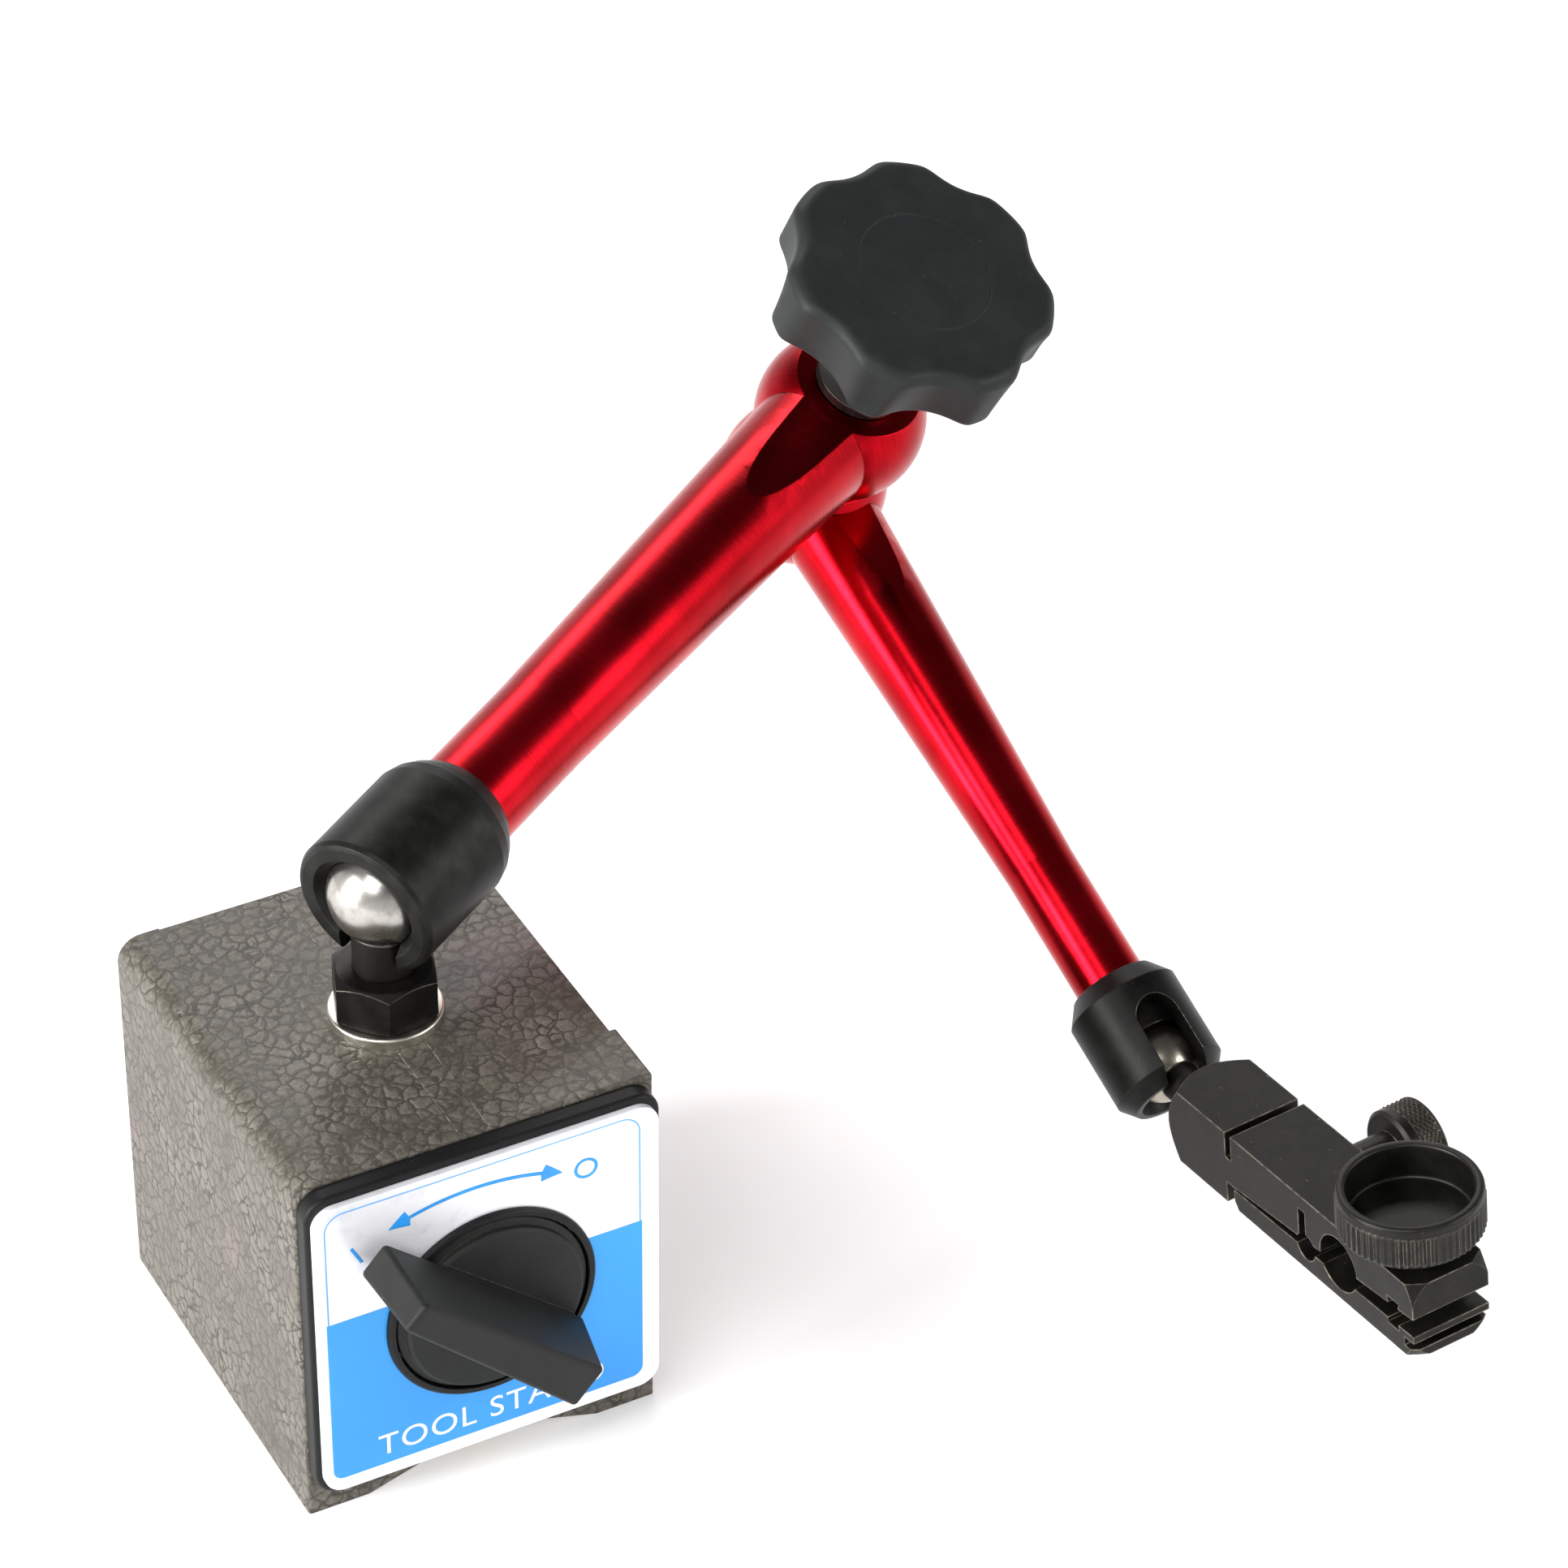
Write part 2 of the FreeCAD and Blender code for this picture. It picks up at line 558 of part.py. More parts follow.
def switch_shaft(inner_end):
    """The shaft from the rotor's front cap into the handle, with two drive flats."""
    outer_end = hub_face() + SHAFT_END_SKIN
    shaft = cylinder(SHAFT_RADIUS, (0, outer_end, SWITCH_HEIGHT), (0, inner_end, SWITCH_HEIGHT))
    for side in (-1, 1):
        low = SWITCH_HEIGHT + side * SHAFT_FLAT
        high = SWITCH_HEIGHT + side * (SHAFT_RADIUS + 1)
        flat = box((-BASE_WIDTH, outer_end - 1, min(low, high)),
                   (BASE_WIDTH, -BASE_FRONT - 0.5, max(low, high)))
        shaft = shaft.cut(flat)
    return shaft


def switch_handle():
    """Round stepped hub with a tapered pointer bar across it."""
    face = hub_face()
    hub = turned_y([(face, HUB_RADIUS - HUB_STEP - 0.4), (face + 0.4, HUB_RADIUS - HUB_STEP),
                    (face + 1.2, HUB_RADIUS - HUB_STEP), (face + 1.5, HUB_RADIUS),
                    (-BASE_FRONT - 0.2, HUB_RADIUS)], SWITCH_HEIGHT)
    outer = face - HANDLE_RISE
    root = [(HANDLE_POINTER, -HANDLE_POINTER_HALF - HANDLE_SIDE_DRAFT),
            (HANDLE_POINTER, HANDLE_POINTER_HALF + HANDLE_SIDE_DRAFT),
            (-HANDLE_TAIL_ROOT, HANDLE_TAIL_HALF + HANDLE_SIDE_DRAFT),
            (-HANDLE_TAIL_ROOT, -HANDLE_TAIL_HALF - HANDLE_SIDE_DRAFT)]
    tip = [(HANDLE_POINTER - 0.4, -HANDLE_POINTER_HALF), (HANDLE_POINTER - 0.4, HANDLE_POINTER_HALF),
           (-HANDLE_TAIL_TIP, HANDLE_TAIL_HALF), (-HANDLE_TAIL_TIP, -HANDLE_TAIL_HALF)]
    bar = Part.makeLoft([upright_outline(root, face), upright_outline(tip, outer)], True, True)
    bar = bar.makeFillet(0.7, bar.Edges)
    seat = upright_outline(root, face + 0.8)
    joint = Part.Face(seat).extrude(Vector(0, -1.7, 0))
    joint = joint.common(cylinder(HUB_RADIUS - HUB_STEP - 0.4, (0, face + 1, SWITCH_HEIGHT),
                                  (0, face - 1, SWITCH_HEIGHT)))
    return hub.fuse(bar).fuse(joint).removeSplitter()


def upright_outline(points, y):
    """A closed wire in an XZ plane from points along and across the handle's pointer direction."""
    angle = math.radians(HANDLE_ANGLE)
    placed = []
    for along, across in points:
        x = along * math.cos(angle) - across * math.sin(angle)
        z = SWITCH_HEIGHT + along * math.sin(angle) + across * math.cos(angle)
        placed.append(Vector(x, y, z))
    return Part.makePolygon(placed + placed[:1])


# ---------------------------------------------------------------- ball stud
def ball_stud():
    """Threaded stud, neck and ball in one piece, standing on the base's axis."""
    neck_start = BASE_HEIGHT + WASHER_THICKNESS + NUT_HEIGHT + 0.2
    reach = math.sqrt(LOWER_BALL_RADIUS ** 2 - NECK_RADIUS ** 2)
    stud = turned_z([(BASE_HEIGHT - STUD_DEPTH, STUD_RADIUS - 0.8), (BASE_HEIGHT - STUD_DEPTH + 0.8, STUD_RADIUS),
                     (neck_start, STUD_RADIUS), (neck_start, NECK_RADIUS),
                     (LOWER_BALL_HEIGHT - reach + 0.5, NECK_RADIUS)])
    ball = Part.makeSphere(LOWER_BALL_RADIUS, Vector(0, 0, LOWER_BALL_HEIGHT))
    return stud.fuse(ball)


# ---------------------------------------------------------------- ball sockets, shared by both joints
def slot_cutter(half_width, back, mouth, reach):
    """A U slot towards +Z: straight from the mouth, ending round behind the ball centre.

    The socket's mouth faces -X and the slot's round end is centred at X = back.
    """
    straight = box((-mouth - 1, -half_width, 0), (back, half_width, reach))
    return straight.fuse(cylinder(half_width, (back, 0, 0), (back, 0, reach)))


def ball_chamber(ball, rear):
    """The room for a ball at the origin and for the pad behind it."""
    radius = ball + BALL_CLEARANCE
    return Part.makeSphere(radius).fuse(cylinder(radius, (0, 0, 0), (rear, 0, 0)))


def ball_pad(ball, start, end):
    """A thrust pad whose cupped face sits against a ball at the origin."""
    pad = cylinder(ball - PAD_CLEARANCE, (start, 0, 0), (end, 0, 0))
    return pad.cut(Part.makeSphere(ball + BALL_CLEARANCE / 2))


def lower_socket():
    """The lower socket, mouth towards -X, slot towards the stud."""
    rim = -LOWER_SOCKET_MOUTH
    radius = LOWER_SOCKET_RADIUS
    rear = LOWER_SOCKET_REAR
    body = turned([(rim, radius - 0.9), (rim + 0.25, radius - 0.35), (rim + 0.9, radius),
                   (rear - 5.0, radius), (rear - 3.2, radius - 0.45), (rear - 1.6, radius - 1.3),
                   (rear, radius - 2.5)])
    mouth_depth = 1.5
    mouth = turned([(rim - 0.01, LOWER_MOUTH_RADIUS), (rim + mouth_depth, LOWER_LIP_RADIUS),
                    (0, LOWER_LIP_RADIUS)])
    chamber_end = LOWER_NIPPLE_START - 0.4
    body = body.cut(mouth).cut(ball_chamber(LOWER_BALL_RADIUS, chamber_end))
    body = body.cut(cylinder(LOWER_NIPPLE_RADIUS, (0, 0, 0), (rear + 1, 0, 0)))
    slot = slot_cutter(NECK_RADIUS + SLOT_CLEARANCE, LOWER_SLOT_BACK, LOWER_SOCKET_MOUTH, radius + 2)
    slot.rotate(Vector(0, 0, 0), Vector(1, 0, 0), 180 - ARM_ROLL)
    return body.cut(slot)


def upper_socket():
    """The upper socket about a ball at the origin, mouth towards +X, slot towards the elbow axis."""
    rim = -UPPER_SOCKET_MOUTH
    radius = UPPER_SOCKET_RADIUS
    rear = UPPER_SOCKET_REAR
    body = turned([(rim, radius - 1.7), (rim + UPPER_SOCKET_CHAMFER, radius), (rear - 2.8, radius),
                   (rear, radius - 2.0)])
    mouth_depth = 1.8
    mouth = turned([(rim - 0.01, UPPER_MOUTH_RADIUS), (rim + mouth_depth, UPPER_LIP_RADIUS),
                    (0, UPPER_LIP_RADIUS)])
    chamber_end = UPPER_NIPPLE_START - 0.2
    body = body.cut(mouth).cut(ball_chamber(UPPER_BALL_RADIUS, chamber_end))
    body = body.cut(cylinder(UPPER_NIPPLE_RADIUS, (0, 0, 0), (rear + 1, 0, 0)))
    slot = slot_cutter(PIN_NECK_RADIUS + SLOT_CLEARANCE, UPPER_SLOT_BACK, UPPER_SOCKET_MOUTH, radius + 2)
    body = body.cut(slot)
    return faced_about(body)


def faced_about(shape):
    """A piece built with its mouth towards -X, turned to face the upper arm's far end."""
    shape = shape.rotated(Vector(0, 0, 0), Vector(0, 0, 1), 180)
    shape = shape.rotated(Vector(0, 0, 0), Vector(1, 0, 0), -SLOT_AZIMUTH)
    return shape.translated(Vector(UPPER_ARM_LENGTH, 0, 0))


# ---------------------------------------------------------------- arms
def flat_cutter(level, hub_x, towards):
    """Removes what stands above a milled flat beside a hub, with the mill's curved run-out.

    The flat runs from the hub towards the tube, and towards is the tube's side along X, -1 or 1.
    """
    lift = 3.0
    radius = FLAT_RUNOUT_RADIUS
    start = hub_x + towards * FLAT_LENGTH
    angle = math.acos(1 - lift / radius)
    reach = radius * math.sin(angle)
    half = angle / 2
    middle = Vector(start + towards * radius * math.sin(half), 0, level + radius * (1 - math.cos(half)))
    near = Vector(start, 0, level)
    far = Vector(start + towards * reach, 0, level + lift)
    beyond = hub_x - towards * 2 * HUB_BALL_RADIUS
    top = level + 2 * HUB_BALL_RADIUS
    corners = [far, Vector(far.x, 0, top), Vector(beyond, 0, top), Vector(beyond, 0, level), near]
    edges = [Part.Arc(near, middle, far).toShape()]
    edges += [Part.makeLine(a, b) for a, b in zip(corners, corners[1:])]
    face = Part.Face(Part.Wire(edges))
    face.translate(Vector(0, -2 * HUB_BALL_RADIUS, 0))
    return face.extrude(Vector(0, 4 * HUB_BALL_RADIUS, 0))


def mirrored_down(shape):
    """The shape turned over about the X axis, so that what faced +Z faces -Z."""
    return shape.rotated(Vector(0, 0, 0), Vector(1, 0, 0), 180)


def inner_flat():
    """Distance from a hub's centre to its flat beside the other hub."""
    return (ELBOW_OFFSET - FRICTION_WASHER) / 2


def elbow_bore(x):
    """The bore along the elbow axis through a hub."""
    radius = SLEEVE_RADIUS + SLEEVE_CLEARANCE
    return cylinder(radius, (x, 0, -2 * HUB_BALL_RADIUS), (x, 0, 2 * HUB_BALL_RADIUS))


def hub(x, towards, top_flat, bottom_flat):
    """A ball hub with two flats and a stub that plugs into its tube; towards is the stub's side."""
    ball = Part.makeSphere(HUB_BALL_RADIUS, Vector(x, 0, 0))
    stub_end = x + towards * HUB_STUB_LENGTH
    body = ball.fuse(cylinder(HUB_STUB_RADIUS, (x, 0, 0), (stub_end, 0, 0)))
    body = body.cut(cylinder(ROD_BORE, (x, 0, 0), (stub_end + towards, 0, 0)))
    big = 4 * HUB_BALL_RADIUS
    body = body.cut(box((x - big, -big, top_flat), (x + big, big, big)))
    body = body.cut(box((x - big, -big, -big), (x + big, big, -bottom_flat)))
    return body.cut(elbow_bore(x))


def lower_tube():
    """The lower arm's tube, growing towards the hub, saddled onto the hub's ball."""
    rear = LOWER_SOCKET_REAR
    body = turned([(LOWER_NIPPLE_START, LOWER_NIPPLE_RADIUS), (rear, LOWER_NIPPLE_RADIUS),
                   (rear, LOWER_TUBE_RADIUS), (LOWER_TUBE_STRAIGHT, LOWER_TUBE_RADIUS),
                   (LOWER_TUBE_END, LOWER_TUBE_END_RADIUS),
                   (LOWER_TUBE_END + 2, LOWER_TUBE_END_RADIUS)])
    body = body.cut(Part.makeSphere(HUB_BALL_RADIUS, Vector(LOWER_ARM_LENGTH, 0, 0)))
    body = body.cut(cylinder(ROD_BORE, (0, 0, 0), (LOWER_TUBE_END + 5, 0, 0)))
    stub_end = LOWER_ARM_LENGTH - HUB_STUB_LENGTH
    body = body.cut(cylinder(HUB_STUB_RADIUS, (stub_end, 0, 0), (LOWER_TUBE_END + 5, 0, 0)))
    body = body.cut(flat_cutter(HUB_OUTER_FLAT, LOWER_ARM_LENGTH, -1))
    return body.cut(mirrored_down(flat_cutter(inner_flat(), LOWER_ARM_LENGTH, -1)))


def upper_tube():
    """The upper arm's tube, shrinking away from the hub, with a flat on each side."""
    end = UPPER_ARM_LENGTH - UPPER_NIPPLE_START
    shoulder = UPPER_ARM_LENGTH - UPPER_SOCKET_REAR
    body = turned([(UPPER_TUBE_START, UPPER_TUBE_HUB_RADIUS), (UPPER_TUBE_STRAIGHT, UPPER_TUBE_RADIUS),
                   (shoulder, UPPER_TUBE_RADIUS), (shoulder, UPPER_NIPPLE_RADIUS),
                   (end, UPPER_NIPPLE_RADIUS)])
    body = body.cut(Part.makeSphere(HUB_BALL_RADIUS, Vector(0, 0, 0)))
    body = body.cut(cylinder(ROD_BORE, (0, 0, 0), (end + 1, 0, 0)))
    body = body.cut(cylinder(HUB_STUB_RADIUS, (0, 0, 0), (HUB_STUB_LENGTH, 0, 0)))
    body = body.cut(flat_cutter(UPPER_FLAT, 0, 1))
    return body.cut(mirrored_down(flat_cutter(UPPER_FLAT, 0, 1)))


def push_rod(hub_x, far_x, direction):
    """A push rod from a cone on the elbow axis to a pad; direction is the cone's wide side, 1 or -1."""
    rod = cylinder(ROD_RADIUS, (hub_x, 0, 0), (far_x, 0, 0))
    return rod.cut(wedge_cone(direction, PUSH_CLEARANCE).translated(Vector(hub_x, 0, 0)))


def wedge_cone(direction, grown=0.0):
    """The cone that spreads a push rod, centred on the rod's axis, wide towards +Z or -Z."""
    half = CONE_LENGTH / 2
    cone = turned_z([(-half, CONE_TIP_RADIUS + grown), (half, SLEEVE_RADIUS + grown)])
    if direction < 0:
        cone = mirrored_down(cone)
    return cone


def lower_arm_pieces():
    """Pieces of the lower arm, with the elbow's friction washer, in the lower arm's frame."""
    washer_top = -inner_flat()
    centre = LOWER_ARM_LENGTH
    washer = cylinder(FRICTION_WASHER_RADIUS, (centre, 0, washer_top - FRICTION_WASHER), (centre, 0, washer_top))
    pad_end = LOWER_NIPPLE_START - 0.6
    return {
        "lower_socket": lower_socket(),
        "lower_tube": lower_tube(),
        "lower_hub": hub(centre, -1, HUB_OUTER_FLAT, inner_flat()),
        "friction_washer": washer.cut(elbow_bore(centre)),
        "lower_ball_pad": ball_pad(LOWER_BALL_RADIUS, LOWER_PAD_START, pad_end),
        "lower_push_rod": push_rod(centre, pad_end, 1),
    }


def upper_arm_pieces():
    """Pieces of the upper arm, in the upper arm's frame."""
    pad_end = UPPER_NIPPLE_START - 0.5
    pad = ball_pad(UPPER_BALL_RADIUS, UPPER_PAD_START, pad_end)
    return {
        "upper_tube": upper_tube(),
        "upper_hub": hub(0, 1, inner_flat(), HUB_OUTER_FLAT),
        "upper_socket": upper_socket(),
        "upper_ball_pad": faced_about(pad),
        "upper_push_rod": push_rod(0, UPPER_ARM_LENGTH - pad_end, -1),
    }


# ---------------------------------------------------------------- elbow clamp, about Z through the origin
def elbow_pieces():
    """Bolt, spring, sleeve and knob, with the lower hub's centre at the origin and Z along the bolt."""
    half = CONE_LENGTH / 2
    low = -ELBOW_OFFSET
    head_top = low - HUB_OUTER_FLAT
    bolt = turned_z([(head_top - BOLT_HEAD_HEIGHT, BOLT_HEAD_RADIUS - 1.6),
                     (head_top - BOLT_HEAD_HEIGHT * 0.6, BOLT_HEAD_RADIUS - 0.5),
                     (head_top - BOLT_HEAD_HEIGHT * 0.25, BOLT_HEAD_RADIUS), (head_top, BOLT_HEAD_RADIUS),
                     (head_top, SLEEVE_RADIUS), (low - half, SLEEVE_RADIUS), (low + half, CONE_TIP_RADIUS),
                     (low + half, BOLT_RADIUS), (BOLT_RISE - 0.6, BOLT_RADIUS), (BOLT_RISE, BOLT_RADIUS - 0.6)])
    key_radius = 2.9
    key_bottom = head_top - BOLT_HEAD_HEIGHT
    key = [(key_radius * math.cos(math.radians(a)), key_radius * math.sin(math.radians(a)), key_bottom - 1)
           for a in range(0, 360, 60)]
    bolt = bolt.cut(extruded(key, (0, 0, 3.2)))
    flange_bottom = KNOB_NECK_BOTTOM - SLEEVE_FLANGE
    sleeve = turned_z([(-half, CONE_TIP_RADIUS), (half, SLEEVE_RADIUS), (flange_bottom, SLEEVE_RADIUS),
                       (flange_bottom, SLEEVE_FLANGE_RADIUS), (KNOB_NECK_BOTTOM, SLEEVE_FLANGE_RADIUS)])
    sleeve = sleeve.cut(cylinder(BOLT_RADIUS + SLEEVE_CLEARANCE, (0, 0, -half - 1), (0, 0, KNOB_RISE)))
    insert_top = KNOB_RISE - KNOB_THICKNESS + 2
    insert = cylinder(INSERT_RADIUS, (0, 0, KNOB_NECK_BOTTOM), (0, 0, insert_top))
    insert = insert.cut(cylinder(BOLT_RADIUS + RUNNING_CLEARANCE, (0, 0, 0), (0, 0, KNOB_RISE)))
    return {
        "clamp_bolt": bolt,
        "release_spring": release_spring(low + half, -half),
        "thrust_sleeve": sleeve,
        "knob_insert": insert,
        "knob_body": knob_body(insert_top),
        "knob_cap": knob_cap(KNOB_CAP_RADIUS, KNOB_RISE - KNOB_CAP_THICKNESS),
    }


def release_spring(low, high):
    """An open coil spring between the two cones' ends."""
    gap = 0.08
    bottom = low + SPRING_WIRE + gap
    height = high - SPRING_WIRE - gap - bottom
    path = Part.makeHelix(height / SPRING_TURNS, height, SPRING_RADIUS)
    start = Vector(SPRING_RADIUS, 0, 0)
    section = Part.Wire(Part.makeCircle(SPRING_WIRE, start, Vector(0, 1, 0)))
    coil = Part.Wire(path).makePipeShell([section], True, True)
    return coil.translated(Vector(0, 0, bottom))


def knob_cap(radius, floor):
    """The round cover let into the knob's face."""
    cap = cylinder(radius, (0, 0, floor), (0, 0, KNOB_RISE))
    return cap.makeFillet(0.25, edges_at_level(cap, KNOB_RISE))


def knob_body(insert_top):
    """The lobed grip with its neck, hollowed for the insert, the bolt's end and the cap."""
    bottom = KNOB_RISE - KNOB_THICKNESS
    grip = cylinder(KNOB_TIP_RADIUS, (0, 0, bottom), (0, 0, KNOB_RISE))
    first_valley = KNOB_LOBE_TURN + 180 / KNOB_LOBES
    grip.rotate(Vector(0, 0, 0), Vector(0, 0, 1), first_valley)
    centre = KNOB_VALLEY_RADIUS + KNOB_SCALLOP_RADIUS
    for lobe in range(KNOB_LOBES):
        angle = math.radians(first_valley + lobe * 360 / KNOB_LOBES)
        x = centre * math.cos(angle)
        y = centre * math.sin(angle)
        grip = grip.cut(cylinder(KNOB_SCALLOP_RADIUS, (x, y, bottom - 1), (x, y, KNOB_RISE + 1)))
    grip = grip.makeFillet(KNOB_TIP_ROUNDING, edges_along(grip, Vector(0, 0, 1)))
    grip = grip.makeFillet(KNOB_EDGE_RADIUS,
                           edges_at_level(grip, KNOB_RISE) + edges_at_level(grip, bottom))
    neck = turned_z([(KNOB_NECK_BOTTOM, KNOB_NECK_RADIUS), (bottom - 2, KNOB_NECK_RADIUS + 0.5),
                     (bottom + 1, KNOB_NECK_RADIUS + 3.5)])
    body = grip.fuse(neck)
    body = body.cut(cylinder(INSERT_RADIUS, (0, 0, 0), (0, 0, insert_top)))
    body = body.cut(cylinder(BOLT_RADIUS + 0.5, (0, 0, 0), (0, 0, BOLT_RISE + 2)))
    return body.cut(cylinder(KNOB_CAP_RADIUS, (0, 0, KNOB_RISE - KNOB_CAP_THICKNESS), (0, 0, KNOB_RISE + 1)))


# ---------------------------------------------------------------- indicator holder
def below_top(depth):
    """Z of a level given as a depth below the holder's top face."""
    return HOLDER_HEIGHT / 2 - depth


def along_holder(distance):
    """X of a place given as a distance from the holder's near face."""
    return HOLDER_START + distance


def holder_outer():
    """The square bar with both ends turned down."""
    start = HOLDER_START
    end = HOLDER_START + HOLDER_LENGTH
    half_width = HOLDER_WIDTH / 2
    half_height = HOLDER_HEIGHT / 2
    corner = math.hypot(half_width, half_height) + 0.2
    bar = box((start, -half_width, -half_height), (end, half_width, half_height))
    return bar.common(turned([(start, HOLDER_TURNED_NEAR), (start + corner - HOLDER_TURNED_NEAR, corner),
                              (end - corner + HOLDER_TURNED_FAR, corner), (end, HOLDER_TURNED_FAR)]))


def across(x_low, x_high, z_low, z_high):
    """A box right across the holder."""
    return box((x_low, -HOLDER_WIDTH, z_low), (x_high, HOLDER_WIDTH, z_high))


def cross_bore(radius, place, level):
    """A bore right across the holder."""
    x = along_holder(place)
    z = below_top(level)
    return cylinder(radius, (x, -HOLDER_WIDTH, z), (x, HOLDER_WIDTH, z))


def dovetail(line_z, side):
    """A dovetail groove across a jaw at the given height; side is 1 to cut up, -1 to cut down."""
    x = along_holder(DOVETAIL_PLACE)
    half = DOVETAIL_FLOOR / 2
    floor = half + 0.35
    start = line_z - side * 0.4
    points = [(x - half, -HOLDER_WIDTH, start), (x + half, -HOLDER_WIDTH, start),
              (x + floor, -HOLDER_WIDTH, line_z + side * DOVETAIL_DEPTH),
              (x - floor, -HOLDER_WIDTH, line_z + side * DOVETAIL_DEPTH)]
    return extruded(points, (0, 2 * HOLDER_WIDTH, 0))


def clamp_screw_hole():
    """Clearance for the clamp screw through both jaws."""
    x = along_holder(CLAMP_SCREW_PLACE)
    return cylinder(CLAMP_SCREW_RADIUS + CLAMP_SCREW_CLEARANCE, (x, 0, -HOLDER_HEIGHT), (x, 0, HOLDER_HEIGHT))


def holder_bores():
    """The two stem bores, shared by both jaws."""
    large = cross_bore(LARGE_BORE_RADIUS, LARGE_BORE_PLACE, LARGE_BORE_LEVEL)
    return large.fuse(cross_bore(SMALL_BORE_RADIUS, SMALL_BORE_PLACE, SMALL_BORE_LEVEL))


def holder_body():
    """The holder's main bar, which is also the upper jaw."""
    body = holder_outer()
    cut_low = along_holder(CUT_START)
    cut_high = cut_low + CUT_WIDTH
    end = along_holder(HOLDER_LENGTH)
    body = body.cut(across(cut_low, cut_high, below_top(TOP_CUT_DEPTH), HOLDER_HEIGHT))
    body = body.cut(across(cut_low, cut_high, -HOLDER_HEIGHT, below_top(NOTCH_LEVEL)))
    slope = (NOTCH_LEVEL - JAW_ROOF_FAR) / (end - cut_high)
    under = [(cut_high - 0.01, -HOLDER_WIDTH, below_top(NOTCH_LEVEL)),
             (end + 1, -HOLDER_WIDTH, below_top(JAW_ROOF_FAR) + slope),
             (end + 1, -HOLDER_WIDTH, -HOLDER_HEIGHT), (cut_high - 0.01, -HOLDER_WIDTH, -HOLDER_HEIGHT)]
    body = body.cut(extruded(under, (0, 2 * HOLDER_WIDTH, 0)))
    finger_x = along_holder(SMALL_BORE_PLACE) - FINGER_SLOT_WIDTH
    body = body.cut(across(finger_x, finger_x + FINGER_SLOT_WIDTH, below_top(SMALL_BORE_LEVEL),
                           below_top(FINGER_SLOT_TOP)))
    body = body.cut(holder_bores()).cut(clamp_screw_hole())
    body = body.cut(dovetail(below_top(JAW_ROOF_FAR + 0.3), 1))
    pin_hole = cylinder(PIN_SHANK_RADIUS + STUD_CLEARANCE, (0, 0, 0), (HOLDER_START + PIN_SHANK_LENGTH + 0.3, 0, 0))
    fine_x = along_holder(FINE_SCREW_PLACE)
    fine_z = below_top(FINE_SCREW_LEVEL)
    fine_end = HOLDER_WIDTH / 2 - FINE_SCREW_DEPTH - 0.2
    fine_hole = cylinder(FINE_SCREW_RADIUS + STUD_CLEARANCE, (fine_x, HOLDER_WIDTH, fine_z), (fine_x, fine_end, fine_z))
    return body.cut(pin_hole).cut(fine_hole)


def lower_jaw():
    """The loose lower jaw, which rocks on its heel when the clamp screw draws it up."""
    heel = along_holder(CUT_START + CUT_WIDTH) + 0.4
    end = along_holder(HOLDER_LENGTH)
    bottom = -HOLDER_HEIGHT / 2
    outline = [(heel, -HOLDER_WIDTH, bottom + 1.2), (heel, -HOLDER_WIDTH, below_top(JAW_HEEL_LEVEL)),
               (end, -HOLDER_WIDTH, below_top(JAW_LEVEL_FAR)), (end, -HOLDER_WIDTH, bottom),
               (heel + 0.9, -HOLDER_WIDTH, bottom)]
    jaw = extruded(outline, (0, 2 * HOLDER_WIDTH, 0)).common(holder_outer())
    jaw = jaw.cut(holder_bores()).cut(clamp_screw_hole())
    jaw = jaw.cut(dovetail(below_top(JAW_LEVEL_FAR), -1))
    groove_top = below_top(END_GROOVE_LEVEL)
    return jaw.cut(across(end - END_GROOVE_DEPTH, end + 1, groove_top - END_GROOVE_HEIGHT, groove_top))


def ball_pin():
    """Ball, neck and shank that carry the holder."""
    ball = Part.makeSphere(UPPER_BALL_RADIUS)
    reach = math.sqrt(UPPER_BALL_RADIUS ** 2 - PIN_NECK_RADIUS ** 2)
    start = HOLDER_START
    stem = turned([(reach - 0.5, PIN_NECK_RADIUS), (start - 1.6, PIN_NECK_RADIUS),
                   (start, PIN_NECK_RADIUS + 0.8), (start, PIN_SHANK_RADIUS),
                   (start + PIN_SHANK_LENGTH - 0.5, PIN_SHANK_RADIUS),
                   (start + PIN_SHANK_LENGTH, PIN_SHANK_RADIUS - 0.5)])
    return ball.fuse(stem)


def toothed_ring(radius, depth, teeth, low, high):
    """A straight-knurled band about Z."""
    points = []
    for i in range(2 * teeth):
        angle = math.pi * i / teeth
        r = radius - (depth if i % 2 else 0)
        points.append((r * math.cos(angle), r * math.sin(angle), low))
    return extruded(points, (0, 0, high - low))


